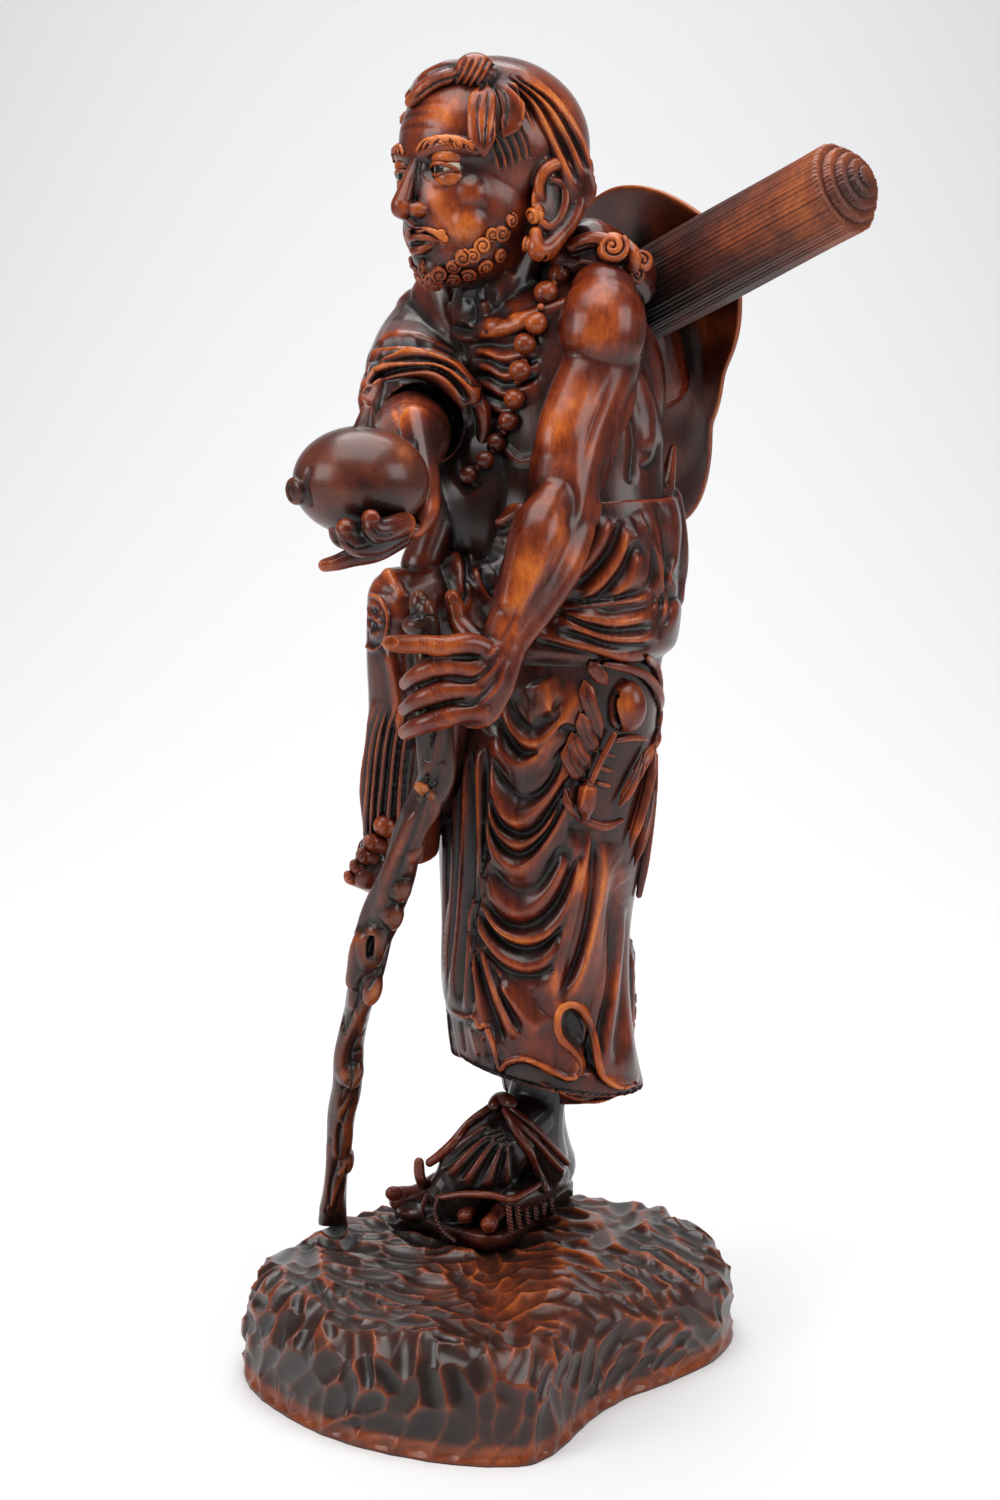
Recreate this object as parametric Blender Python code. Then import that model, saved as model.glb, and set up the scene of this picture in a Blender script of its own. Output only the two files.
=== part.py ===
"""Hardwood okimono: an immortal leaning on a twisted staff, on a gouged rockwork plinth.

Metres, +Z up. The origin is the centre of the plinth's underside, and the front view looks along +Y.
The figure is carved as one with its robe, beads, gourd, hat, mat and sandal.
"""

import math

import bmesh
import bpy
import numpy as np
from mathutils import Vector
from mathutils.bvhtree import BVHTree

# Driving sizes
FIGURE_HEIGHT = 0.553
PLINTH_WIDTH = 0.236
PLINTH_DEPTH = 0.228
PLINTH_HEIGHT = 0.050
ROCK_RISE = 0.011
GOUGE_DEPTH = 0.0019
GOUGE_LENGTH = 0.024
STAFF_THICKNESS = 0.0145
EYE_LENGTH = 0.0100
EYE_HEIGHT = 0.0060
CLEARANCE = 0.0003

# The figure keeps its pose and carving as shares of its own height: one share is about a millimetre.
SHARES = 553.0
SHARE = FIGURE_HEIGHT / SHARES
SOLE = 50.0

# Front view: a frame 1000 wide and 1500 high, seen from 950 shares off, looking 7 degrees down
VIEW_FROM = np.array([0.0, -950.0, 410.0])
VIEW_TILT = math.radians(7)
VIEW_LENS = 2083.33

# The way the body faces, and its left side
FRONT = np.array([-0.707, -0.707, 0.0])
LEFT = np.array([0.707, -0.707, 0.0])

# Fineness of the carving, in shares, and the triangles of the finished solids
GRAIN = 1.5
FIGURE_TRIANGLES = 6900
STAFF_TRIANGLES = 800
STAFF_GRAIN = 1.0


# Places in the front view


def at(across, down, depth):
    """The point that the front view shows at (across, down), this deep behind the plinth's centre."""
    side = (across - 500.0) / VIEW_LENS
    rise = (750.0 - down) / VIEW_LENS
    ahead = math.cos(VIEW_TILT) + rise * math.sin(VIEW_TILT)
    up = rise * math.cos(VIEW_TILT) - math.sin(VIEW_TILT)
    reach = (depth - VIEW_FROM[1]) / ahead
    return VIEW_FROM + reach * np.array([side, ahead, up])


def seen(points):
    """Where the front view shows each point, as (across, down)."""
    gap = points - VIEW_FROM
    ahead = gap[:, 1] * math.cos(VIEW_TILT) - gap[:, 2] * math.sin(VIEW_TILT)
    up = gap[:, 2] * math.cos(VIEW_TILT) + gap[:, 1] * math.sin(VIEW_TILT)
    return np.stack([500 + VIEW_LENS * gap[:, 0] / ahead, 750 - VIEW_LENS * up / ahead], 1)


def wide(length, depth):
    """A length in the front view's frame, as shares at this depth."""
    return length * (depth - VIEW_FROM[1]) / VIEW_LENS


# Meshes as (points, faces)


def smooth_line(points, steps):
    """A smooth line through rows of numbers, with this many steps between two of them."""
    rows = np.asarray(points, float)
    rows = np.vstack([2 * rows[0] - rows[1], rows, 2 * rows[-1] - rows[-2]])
    line = []
    for i in range(1, len(rows) - 2):
        a, b, c, d = rows[i - 1 : i + 3]
        for t in np.arange(steps) / steps:
            line.append(
                0.5 * (2 * b + (c - a) * t + (2 * a - 5 * b + 4 * c - d) * t**2
                       + (3 * b - a - 3 * c + d) * t**3)
            )
    line.append(rows[-2])
    return np.array(line)


def shell(rings):
    """A closed skin over rings of points, with a fan at each end."""
    count, sides = len(rings), len(rings[0])
    points = np.concatenate([np.concatenate(rings), [rings[0].mean(0), rings[-1].mean(0)]])
    faces = []
    for i in range(count - 1):
        for j in range(sides):
            k = (j + 1) % sides
            faces.append((i * sides + j, i * sides + k, (i + 1) * sides + k, (i + 1) * sides + j))
    first, last = count * sides, count * sides + 1
    for j in range(sides):
        k = (j + 1) % sides
        faces.append((first, k, j))
        faces.append((last, (count - 1) * sides + j, (count - 1) * sides + k))
    return points, faces


def tube(line, widths, depths, towards=(0.0, 1.0, 0.0), sides=16, rounded=(1.0, 1.0)):
    """A limb along a line, oval where its width and depth differ, with rounded ends."""
    line = np.asarray(line, float)
    ways = np.gradient(line, axis=0)
    ways /= np.linalg.norm(ways, axis=1)[:, None]
    turns = np.arange(sides) / sides * math.tau
    rings = []

    def ring(middle, way, width, depth):
        through = np.asarray(towards, float)
        through = through - way * (through @ way)
        if np.linalg.norm(through) < 0.15:
            through = np.array([0.0, 0.0, 1.0]) - way * way[2]
        through /= np.linalg.norm(through)
        across = np.cross(through, way)
        return middle + np.outer(np.cos(turns) * width, across) + np.outer(np.sin(turns) * depth, through)

    for share in (0.98, 0.87, 0.6, 0.3):
        if rounded[0]:
            out = ways[0] * widths[0] * share * rounded[0]
            thin = math.sqrt(1 - share**2)
            rings.append(ring(line[0] - out, ways[0], widths[0] * thin, depths[0] * thin))
    for middle, way, width, depth in zip(line, ways, widths, depths):
        rings.append(ring(middle, way, width, depth))
    for share in (0.3, 0.6, 0.87, 0.98):
        if rounded[1]:
            out = ways[-1] * widths[-1] * share * rounded[1]
            thin = math.sqrt(1 - share**2)
            rings.append(ring(line[-1] + out, ways[-1], widths[-1] * thin, depths[-1] * thin))
    return shell(rings)


def limb(stations, steps=4, **more):
    """A limb through (across, down, depth, half width in the frame, depth share of that width)."""
    line = smooth_line([(*at(s[0], s[1], s[2]), wide(s[3], s[2]), wide(s[3], s[2]) * s[4]) for s in stations],
                       steps)
    return tube(line[:, :3], line[:, 3], line[:, 4], **more)


def ball(middle, radii, axes=None, fine=3):
    """An ellipsoid with its radii along these axes."""
    made = bmesh.new()
    bmesh.ops.create_icosphere(made, subdivisions=fine, radius=1.0)
    made.verts.ensure_lookup_table()
    points = np.array([v.co[:] for v in made.verts])
    faces = [tuple(v.index for v in f.verts) for f in made.faces]
    made.free()
    frame = np.eye(3) if axes is None else np.asarray(axes, float)
    return np.asarray(middle, float) + (points * np.asarray(radii, float)) @ frame, faces


def stack(sections, steps=4, sides=48):
    """The body's cross-sections from the top down, each turned the way the body faces.

    A section is (left edge, right edge, down at the left, down at the right, depth, breadth share).
    """
    turns = np.arange(sides) / sides * math.tau
    rings = []
    for left, right, down_left, down_right, depth, share in smooth_line(sections, steps):
        a = at(left, down_left, depth)
        b = at(right, down_right, depth)
        half = (b[0] - a[0]) / 2
        thin = half * math.sqrt(2 / (1 + share**2))
        ring = np.outer(np.cos(turns) * thin * share, LEFT) + np.outer(np.sin(turns) * thin, FRONT)
        ring[:, 2] = ring[:, 0] / half * (b[2] - a[2]) / 2
        rings.append((a + b) / 2 + ring)
    return shell(rings)


def joined(parts):
    """Many meshes as one list of points and faces."""
    points, faces, start = [], [], 0
    for part_points, part_faces in parts:
        points.append(part_points)
        faces += [tuple(i + start for i in face) for face in part_faces]
        start += len(part_points)
    return np.concatenate(points), faces


def as_object(name, parts):
    points, faces = joined(parts)
    mesh = bpy.data.meshes.new(name)
    mesh.from_pydata(points.tolist(), [], faces)
    made = bpy.data.objects.new(name, mesh)
    bpy.context.scene.collection.objects.link(made)
    return made


def settled(made):
    """The object's mesh once its modifiers have run, in place of the one that it had."""
    graph = bpy.context.evaluated_depsgraph_get()
    mesh = bpy.data.meshes.new_from_object(made.evaluated_get(graph))
    made.modifiers.clear()
    old, made.data = made.data, mesh
    bpy.data.meshes.remove(old)
    return made


def skin(name, parts, grain=GRAIN, soften=4):
    """One skin over all the parts, with the joins softened."""
    made = as_object(name, parts)
    remesh = made.modifiers.new("Skin", "REMESH")
    remesh.mode = "VOXEL"
    remesh.voxel_size = grain
    settled(made)
    if soften:
        even = made.modifiers.new("Soften", "SMOOTH")
        even.factor = 0.5
        even.iterations = soften
        settled(made)
    return made


def points_of(made):
    flat = np.empty(len(made.data.vertices) * 3, np.float32)
    made.data.vertices.foreach_get("co", flat)
    return flat.reshape(-1, 3).astype(float)


def normals_of(made):
    flat = np.empty(len(made.data.vertices) * 3, np.float32)
    made.data.vertex_normals.foreach_get("vector", flat)
    return flat.reshape(-1, 3).astype(float)


def set_points(made, points):
    made.data.vertices.foreach_set("co", points.astype(np.float32).ravel())
    made.data.update()


def mesh_of(made):
    """The object as (points, faces), and the object itself goes."""
    part = points_of(made), [tuple(f.vertices) for f in made.data.polygons]
    mesh = made.data
    bpy.data.objects.remove(made)
    bpy.data.meshes.remove(mesh)
    return part


# Carving


def near_line(spots, line):
    """For each spot, its distance to a drawn line and how far along the line it lies, from 0 to 1."""
    best = np.full(len(spots), 1e9)
    along = np.zeros(len(spots))
    lengths = np.linalg.norm(np.diff(line, axis=0), axis=1)
    starts = np.concatenate([[0], np.cumsum(lengths)])
    for a, b, length, start in zip(line[:-1], line[1:], lengths, starts[:-1]):
        way = (b - a) / max(length, 1e-9)
        t = np.clip((spots - a) @ way, 0, length)
        away = np.linalg.norm(spots - a - t[:, None] * way, axis=1)
        closer = away < best
        best[closer] = away[closer]
        along[closer] = (start + t[closer]) / starts[-1]
    return best, along


def facing_front(points, normals):
    look = points - VIEW_FROM
    look /= np.linalg.norm(look, axis=1)[:, None]
    return np.clip(-(look * normals).sum(1) / 0.35, 0, 1)


def carve(made, lines, taper=0.18):
    """Raises or cuts the front along drawn lines: each is (half width, height, points)."""
    points, normals = points_of(made), normals_of(made)
    spots, front = seen(points), facing_front(points, normals)
    lift = np.zeros(len(points))
    for half, height, drawn in lines:
        line = smooth_line(drawn, 5)
        low, high = line.min(0) - half, line.max(0) + half
        near = np.flatnonzero(((spots > low) & (spots < high)).all(1))
        if len(near) == 0:
            continue
        away, along = near_line(spots[near], line)
        shape = np.clip(1 - (away / half) ** 2, 0, 1) ** 2
        ends = np.clip(np.minimum(along, 1 - along) / taper, 0, 1)
        lift[near] += height * shape * (ends * (2 - ends)) * front[near]
    set_points(made, points + normals * lift[:, None])


def tree_of(made):
    made.data.update()
    return BVHTree.FromPolygons([v.co[:] for v in made.data.vertices], [tuple(f.vertices) for f in made.data.polygons])


def touch(tree, across, down, lift=0.0):
    """The surface point that the front view shows at (across, down), raised along its normal."""
    way = at(across, down, 0.0) - VIEW_FROM
    spot, normal, _, _ = tree.ray_cast(Vector(VIEW_FROM), Vector(way / np.linalg.norm(way)))
    if spot is None:
        return None
    return np.array(spot) + np.array(normal) * lift


def rope(tree, drawn, half, lift=0.0, flat=1.0, sides=10, steps=5):
    """A roll that lies on the surface along a drawn line, tapering at both ends."""
    line = [touch(tree, u, v, lift) for u, v in smooth_line(drawn, steps)]
    line = np.array([p for p in line if p is not None])
    for _ in range(2):
        line[1:-1] = (line[:-2] + 2 * line[1:-1] + line[2:]) / 4
    along = np.linspace(0, 1, len(line))
    fade = 0.45 + 0.55 * np.clip(np.minimum(along, 1 - along) / 0.2, 0, 1)
    size = wide(half, 0.0) * fade
    return tube(line, size, size * flat, sides=sides)


# Regions of the figure

HEAD_MIDDLE = at(483, 168, 14.0)
HEAD_TURN = math.radians(52)
HEAD_NOD = math.radians(5)


def in_head(points):
    """Places given as (to its right, forward, up) from the head's middle."""
    forward = np.array([-math.sin(HEAD_TURN) * math.cos(HEAD_NOD), -math.cos(HEAD_TURN) * math.cos(HEAD_NOD),
                        -math.sin(HEAD_NOD)])
    right = np.array([-math.cos(HEAD_TURN), math.sin(HEAD_TURN), 0.0])
    up = np.cross(right, forward)
    return HEAD_MIDDLE + np.atleast_2d(np.asarray(points, float)) @ np.array([right, forward, up])


HEAD_AXES = in_head(np.eye(3)) - HEAD_MIDDLE


def head_ball(middle, radii, fine=3):
    return ball(in_head(middle)[0], radii, HEAD_AXES, fine)


def head_tube(stations, flat=1.0, steps=4, towards=None, sides=12):
    """A limb through (right, forward, up, radius) in the head's frame."""
    line = smooth_line(stations, steps)
    out = HEAD_AXES[1] if towards is None else towards
    return tube(in_head(line[:, :3]), line[:, 3], line[:, 3] * flat, towards=out, sides=sides)


EYE_SPOT = (12.5, 29.5, 2.0)
CURL = 5.6


def curl_places():
    """Middles of the beard's curls: two rows along the jaw and a tuft on the chin."""
    places = []
    for side in (-1, 1):
        for i in range(6):
            t = i / 5
            places.append((side * (29 - 17 * t**1.3), 4 + 26 * t, -26 - 11 * math.sin(t * 1.5)))
        for i in range(3):
            places.append((side * (10 - 4 * i), 33 + i, -35 - 3 * i))
            places.append((side * (12 - 5 * i), 30 + 2 * i, -41 - i))
    places += [(0, 36, -38), (0, 33, -46), (-5, 31, -46), (5, 31, -46)]
    return places


def head_region():
    parts = [
        head_ball((0, -7, 12), (34, 43, 36)),
        head_ball((0, 8, -10), (27, 31, 36)),
        head_ball((0, 15, -30), (21, 21, 15)),
        head_ball((0, -20, -8), (27, 24, 28)),
        head_ball((0, 29, -35), (8, 7, 7)),
        head_tube([(0, 33, 8, 3.6), (0, 38, 0, 3.4), (0, 43, -9, 4.2), (0, 44, -12.5, 4.6)]),
        head_tube([(-25, 20, 6, 3), (-14, 32, 9.5, 4), (0, 34.5, 8, 4), (14, 32, 9.5, 4), (25, 20, 6, 3)], 0.8),
        head_tube([(-9, 33, -25.5, 1.6), (-4, 37, -23.5, 2.4), (0, 37.5, -24.5, 2.2), (4, 37, -23.5, 2.4),
                   (9, 33, -25.5, 1.6)]),
        head_tube([(-8, 33, -27, 1.6), (0, 37, -28.5, 2.8), (8, 33, -27, 1.6)]),
    ]
    for side in (-1, 1):
        parts.append(head_ball((side * 18, 25, -8), (9, 8, 7)))
        parts.append(head_ball((side * 5, 37.5, -13), (4, 4.5, 3.6)))
        parts.append(head_ball((side * 12.5, 28.5, 1.5), (7.5, 5, 5)))
        ear = [(side * 31, -3, -8, 2.6), (side * 34, -6, -2, 3), (side * 38, -13, 0, 3.2), (side * 40, -19, -6, 3.2),
               (side * 38, -18, -15, 3.2), (side * 34, -12, -23, 3.4), (side * 32, -7, -31, 4.6),
               (side * 31, -5, -25, 3.4)]
        parts.append(head_tube(ear))
        parts.append(head_ball((side * 32, -10, -12), (4, 7, 10)))
    made = skin("head", parts, GRAIN * 0.6, 3)
    points = points_of(made)
    set_points(made, points)
    tree = tree_of(made)
    curls = [head_ball(spot, (CURL / 2 + 0.6, CURL / 2 + 0.6, CURL / 2 + 0.6), 2) for spot in curl_places()]
    band = [
        rope(tree, ((478, 76), (456, 82), (434, 92), (418, 104)), 12, 2.5),
        rope(tree, ((492, 80), (525, 92), (552, 122), (569, 160), (575, 190)), 9, 1.0),
        rope(tree, ((497, 70), (535, 84), (563, 115), (580, 152), (585, 190)), 9, 1.0),
        rope(tree, ((487, 90), (515, 103), (540, 130), (556, 160), (562, 184)), 8, 0.5),
    ]
    behind = head_tube([(20, 30, 34, 4), (30, 8, 30, 4.5), (33, -14, 18, 4.5), (30, -34, 0, 4.5), (14, -44, -10, 4.5),
                        (-8, -46, -12, 4.5), (-26, -36, -8, 4.5)], 1.0)
    knot = [
        ball(touch(tree, 476, 76, 4), (8, 8, 9)),
        ball(touch(tree, 464, 74, 4), (5, 6, 7)),
        ball(touch(tree, 489, 78, 4), (5, 6, 7)),
        rope(tree, ((485, 86), (497, 104), (503, 126), (499, 146)), 11, 1.2, 0.6),
        rope(tree, ((478, 90), (484, 112), (483, 140)), 8, 1.0, 0.6),
    ]
    brows = [rope(tree, ((438, 176), (452, 168), (468, 166), (482, 176)), 7, 0.8)]
    return [mesh_of(made)] + curls + band + [behind] + knot + brows


def torso_region():
    parts = [
        stack([(462, 590, 288, 288, 34, 1.9), (420, 612, 312, 312, 33, 1.9), (432, 634, 345, 345, 32, 1.5),
               (440, 650, 385, 385, 32, 1.3), (446, 660, 430, 430, 32, 1.25), (448, 664, 480, 480, 32, 1.2),
               (446, 672, 530, 530, 32, 1.2), (446, 672, 600, 600, 32, 1.2)]),
        limb([(512, 250, 22, 34, 1.0), (505, 285, 24, 32, 1.0), (505, 315, 27, 44, 1.0), (515, 345, 30, 60, 0.9)]),
        limb([(452, 318, 30, 12, 0.8), (485, 322, 8, 10, 0.8), (540, 318, -8, 12, 0.8)]),
        ball(at(612, 390, 30), (25, 30, 40)),
        ball(at(490, 500, 8), (30, 26, 30)),
    ]
    made = skin("torso", parts, GRAIN * 0.8, 4)
    ribs = [(8, 2.2, ((472, 328 + 20 * i), (500, 335 + 20 * i), (530, 332 + 20 * i))) for i in range(5)]
    sinews = [(7, 2.0, ((452 + 18 * i, 282), (462 + 14 * i, 312), (474 + 8 * i, 335))) for i in range(3)]
    carve(made, ribs + sinews + [(9, -2.5, ((470, 340), (474, 390), (468, 440), (458, 480)))])
    return made


BEAD_PLACES = ((578, 266), (561, 279), (547, 298), (536, 322), (527, 348), (522, 373), (516, 397), (511, 421),
               (499, 444), (485, 462), (471, 475))


def beads(tree):
    """The string of beads, from the shoulder down the chest, each a little smaller than the last."""
    made = []
    for i, (across, down) in enumerate(BEAD_PLACES):
        size = wide(12.5 - 0.32 * i, 0)
        made.append(ball(touch(tree, across, down, size * 0.45), (size, size, size), None, 2))
    return made


def left_arm_region():
    arm = [
        limb([(606, 318, 0, 44, 0.95), (600, 350, -4, 47, 0.9), (588, 392, -9, 47, 0.88), (575, 430, -15, 44, 0.88),
              (566, 470, -21, 41, 0.9), (560, 505, -26, 38, 0.9), (546, 545, -32, 42, 0.85),
              (530, 582, -40, 38, 0.85), (514, 620, -48, 30, 0.8), (500, 655, -54, 23, 0.75)], 5),
        ball(at(583, 516, -24), (9, 11, 9)),
        ball(at(604, 306, -8), (17, 16, 15)),
    ]
    palm = [
        limb([(503, 650, -54, 22, 0.7), (488, 676, -57, 27, 0.55), (476, 700, -58, 27, 0.5)], 4),
        limb([(488, 655, -58, 12, 1), (472, 645, -62, 11, 1), (440, 646, -66, 9.5, 1), (412, 646, -69, 8.5, 1),
              (388, 644, -71, 7, 1)]),
        limb([(490, 655, -50, 13, 1), (474, 640, -46, 12, 1), (458, 622, -42, 11, 1), (452, 601, -40, 8, 1)]),
    ]
    for base, knuckle, tip in (((478, 672), (436, 668), (407, 684)), ((480, 692), (437, 694), (406, 710)),
                               ((482, 712), (440, 720), (406, 731))):
        middle = ((base[0] + knuckle[0]) / 2, (base[1] + knuckle[1]) / 2 - 2)
        palm.append(limb([(*base, -59, 12, 1), (*middle, -62, 11, 1), (*knuckle, -62.5, 10.5, 1),
                          ((knuckle[0] + tip[0]) / 2 - 4, (knuckle[1] + tip[1]) / 2, -60, 9.5, 1),
                          (*tip, -50, 7.5, 1)]))
    made = skin("left_arm", arm + palm, GRAIN * 0.6, 3)
    carve(made, [
        (14, 2.0, ((560, 350), (552, 400), (556, 440))),
        (10, -2.0, ((600, 350), (606, 400), (596, 450), (586, 490))),
        (12, 1.8, ((528, 470), (520, 520), (508, 565), (500, 610))),
        (8, -1.6, ((556, 500), (538, 545), (520, 590))),
        (7, 1.4, ((500, 640), (485, 672), (470, 700))),
    ])
    return made


GOURD_MIDDLE = at(361, 482, -98)


def right_arm_region():
    parts = [
        limb([(432, 425, 0, 42, 1), (430, 440, -30, 38, 1), (424, 462, -62, 32, 0.9), (412, 480, -82, 26, 0.9)]),
        ball(GOURD_MIDDLE, (27.5, 25, 22)),
        limb([(315, 486, -104, 16, 1), (296, 494, -110, 13, 1), (288, 496, -112, 8, 1)]),
        limb([(369, 446, -92, 7, 1), (369, 424, -90, 6, 1), (367, 414, -90, 5, 1)]),
        limb([(432, 455, -72, 10, 2), (438, 490, -78, 10, 2.2), (428, 525, -84, 11, 2.2), (402, 535, -92, 10, 2)]),
        limb([(395, 535, -96, 12, 1), (370, 545, -104, 12, 1), (345, 560, -106, 9, 1), (322, 574, -106, 6, 1)]),
        limb([(400, 530, -112, 10, 1), (385, 528, -122, 9, 1), (368, 524, -124, 8, 1), (355, 512, -122, 7, 1)]),
        limb([(405, 525, -100, 12, 1), (380, 540, -112, 12, 1), (352, 540, -118, 9, 1), (334, 530, -116, 7, 1)]),
        limb([(425, 515, -100, 11, 1), (408, 512, -114, 10, 1), (396, 516, -120, 7, 1)]),
    ]
    made = skin("right_arm", parts, GRAIN * 0.6, 3)
    carve(made, [(7, 1.2, ((398, 414), (415, 440), (425, 470))), (6, -1.0, ((408, 412), (424, 440), (432, 468)))])
    return made


def sleeve_region():
    parts = [
        limb([(424, 316, 62, 30, 0.9), (420, 345, 52, 44, 0.9), (420, 380, 30, 56, 0.8), (424, 420, 8, 56, 0.75)], 5),
        limb([(388, 362, 28, 18, 1), (374, 398, 6, 16, 1), (372, 424, -4, 9, 1)]),
        limb([(392, 372, 10, 16, 1), (430, 366, 0, 17, 1), (466, 396, -4, 17, 1), (478, 440, 2, 13, 1),
              (464, 478, 14, 9, 1)]),
        ball(at(420, 318, 64), (13, 13, 14)),
        limb([(440, 300, 52, 30, 1), (452, 330, 34, 26, 1), (470, 370, 22, 20, 1)]),
    ]
    made = skin("sleeve", parts, GRAIN * 0.8, 3)
    folds = [(6, 1.8, ((372, 372 - 10 * i), (400, 348 - 6 * i), (440, 358 - 4 * i), (470, 392 - 4 * i)))
             for i in range(4)]
    carve(made, folds)
    cut(made, as_object("opening", [limb([(418, 436, -34, 44, 0.9), (422, 424, -12, 44, 0.9), (426, 404, 22, 34, 0.9)])]))
    return made


def robe_region():
    parts = [
        stack([(452, 676, 506, 498, 33, 1.15), (446, 680, 530, 525, 33, 1.15), (444, 678, 560, 558, 33, 1.15),
               (446, 675, 600, 596, 33, 1.15), (446, 664, 640, 640, 34, 1.12), (442, 657, 700, 700, 35, 1.1),
               (439, 650, 780, 780, 37, 1.05), (439, 643, 850, 850, 39, 1.0), (442, 631, 920, 920, 41, 1.0),
               (441, 629, 975, 985, 42, 1.0), (446, 634, 1000, 1040, 42, 1.0), (452, 638, 1012, 1078, 43, 1.0)]),
        limb([(565, 960, 60, 70, 0.75), (564, 1040, 64, 70, 0.75), (563, 1090, 64, 62, 0.75)],
             rounded=(1.0, 0.15)),
        limb([(470, 960, 40, 26, 1.0), (471, 1020, 40, 25, 1.0), (472, 1052, 40, 22, 1.0)], rounded=(1.0, 0.15)),
        limb([(520, 610, 30, 70, 0.9), (460, 605, 4, 55, 0.9), (405, 612, -14, 38, 0.95), (396, 622, -16, 30, 1.0)]),
        limb([(400, 600, -12, 33, 1.0), (402, 650, -8, 36, 1.0), (406, 720, 0, 38, 1.0), (402, 790, 8, 42, 1.0),
              (402, 850, 16, 38, 1.0)], rounded=(1.0, 0.2)),
        limb([(440, 640, 6, 40, 1.0), (436, 720, 12, 40, 1.0), (432, 790, 20, 34, 1.0), (430, 815, 26, 24, 1.0)]),
        limb([(400, 830, 22, 22, 1.0), (382, 852, 8, 24, 0.9), (368, 874, 0, 18, 0.9)]),
        stack([(450, 672, 612, 594, 33, 1.16), (440, 682, 622, 604, 33, 1.16), (440, 678, 646, 640, 33, 1.16),
               (448, 664, 660, 654, 33, 1.16)]),
        limb([(612, 500, 0, 12, 1), (640, 512, 0, 14, 1), (664, 492, 14, 12, 1), (673, 452, 28, 6, 1)]),
        limb([(668, 500, 20, 16, 1), (676, 560, 26, 14, 1), (668, 620, 30, 10, 1)]),
    ]
    made = skin("robe", parts, GRAIN * 0.8, 5)
    lines = [(9, 3.4, ((444 + 10 * i, 740), (446 + 10 * i, 860), (444 + 11 * i, 990 + 8 * i))) for i in range(4)]
    for low, high in ((751, 30), (822, 60), (867, 70), (900, 80), (940, 80), (974, 80)):
        lines.append((13, 5.6, ((488, low - high), (504, low - 18), (527, low), (560, low - 20),
                                (596, low - high - 14))))
        lines.append((9, -3.4, ((494, low - high + 16), (508, low), (528, low + 18), (560, low),
                                (592, low - high + 6))))
    lines += [(8, 2.0, ((362 + 8 * i, 850), (366 + 8 * i, 790), (380 + 9 * i, 722))) for i in range(5)]
    lines += [
        (10, 3.0, ((503, 1068), (520, 1058), (545, 1064), (572, 1076))),
        (10, 3.0, ((578, 1066), (560, 1044), (556, 1022), (570, 1008), (586, 1018), (598, 1060))),
        (9, 2.4, ((612, 720), (604, 850), (606, 980), (622, 1080))),
        (9, 2.4, ((624, 860), (620, 960), (634, 1076))),
        (9, -3.0, ((356, 620), (364, 600), (376, 596), (384, 618), (378, 640))),
        (7, 1.8, ((536, 630), (590, 632), (652, 612))),
        (7, 1.8, ((536, 645), (590, 650), (652, 636))),
        (9, 2.2, ((560, 530), (590, 560), (620, 600))),
        (9, 2.2, ((600, 512), (630, 540), (655, 590))),
        (8, 2.0, ((450, 540), (462, 580), (468, 640))),
        (8, 2.0, ((470, 530), (484, 570), (486, 600))),
    ]
    carve(made, lines)
    points, normals = points_of(made), normals_of(made)
    middle = at(550, 800, 38)
    turn = np.arctan2(points[:, 1] - middle[1], points[:, 0] - middle[0])
    behind = np.clip((normals[:, 1] - 0.1) / 0.4, 0, 1)
    hang = np.clip((350 - points[:, 2]) / 80, 0, 1)
    set_points(made, points + normals * (2.0 * behind * hang * np.sin(turn * 17 + points[:, 2] * 0.01))[:, None])
    return made


def waist_items(tree):
    """The wooden bell, its mallet, the lobed leaf and the brush leaves that hang from the sash."""
    bell = touch(tree, 622, 706, 3)
    return [
        ball(bell, (8.6, 8, 12.6)),
        rope(tree, ((609, 732), (598, 756), (587, 780)), 6, 4.5),
        rope(tree, ((585, 780), (582, 796), (584, 812)), 11, 4),
        rope(tree, ((592, 684), (578, 706), (572, 740), (586, 776)), 15, 1, 0.5),
        rope(tree, ((640, 740), (630, 780), (618, 832)), 13, 1.5, 0.6),
        rope(tree, ((652, 745), (644, 790), (636, 842)), 11, 1.0, 0.6),
        rope(tree, ((574, 800), (590, 822), (614, 826)), 10, 0.5, 0.6),
    ]


MAT_OUTER = at(846, 187, -16)
MAT_INNER = at(640, 300, 66)
MAT_RADIUS = 20.0
MAT_LENGTH = 190.0
HAT_MIDDLE = at(648, 358, 82)
HAT_OUT = np.array([0.84, 0.46, 0.28])
HAT_BOWL = 10.0
HAT_RADIUS = 74.0
HAT_RIM = ((590, 203), (612, 188), (645, 187), (680, 202), (708, 225), (730, 262), (735, 310), (724, 372), (709, 428),
           (706, 466), (690, 515), (668, 532))


def load_region():
    """The rolled mat across the back and the shallow round hat behind it."""
    way = MAT_INNER - MAT_OUTER
    way /= np.linalg.norm(way)
    line = [MAT_OUTER + way * MAT_LENGTH * t for t in np.linspace(0, 1, 12)]
    size = np.full(12, MAT_RADIUS)
    mat = tube(line, size, size, sides=24, rounded=(0, 0))
    core = tube([MAT_OUTER - way * 5, MAT_OUTER + way * 5], [13, 13], [13, 13], sides=20, rounded=(0, 0))
    inner = tube([MAT_OUTER - way * 9, MAT_OUTER + way * 5], [7, 7], [7, 7], sides=16, rounded=(0, 0))
    return [mat, core, inner, hat_solid()]


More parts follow.
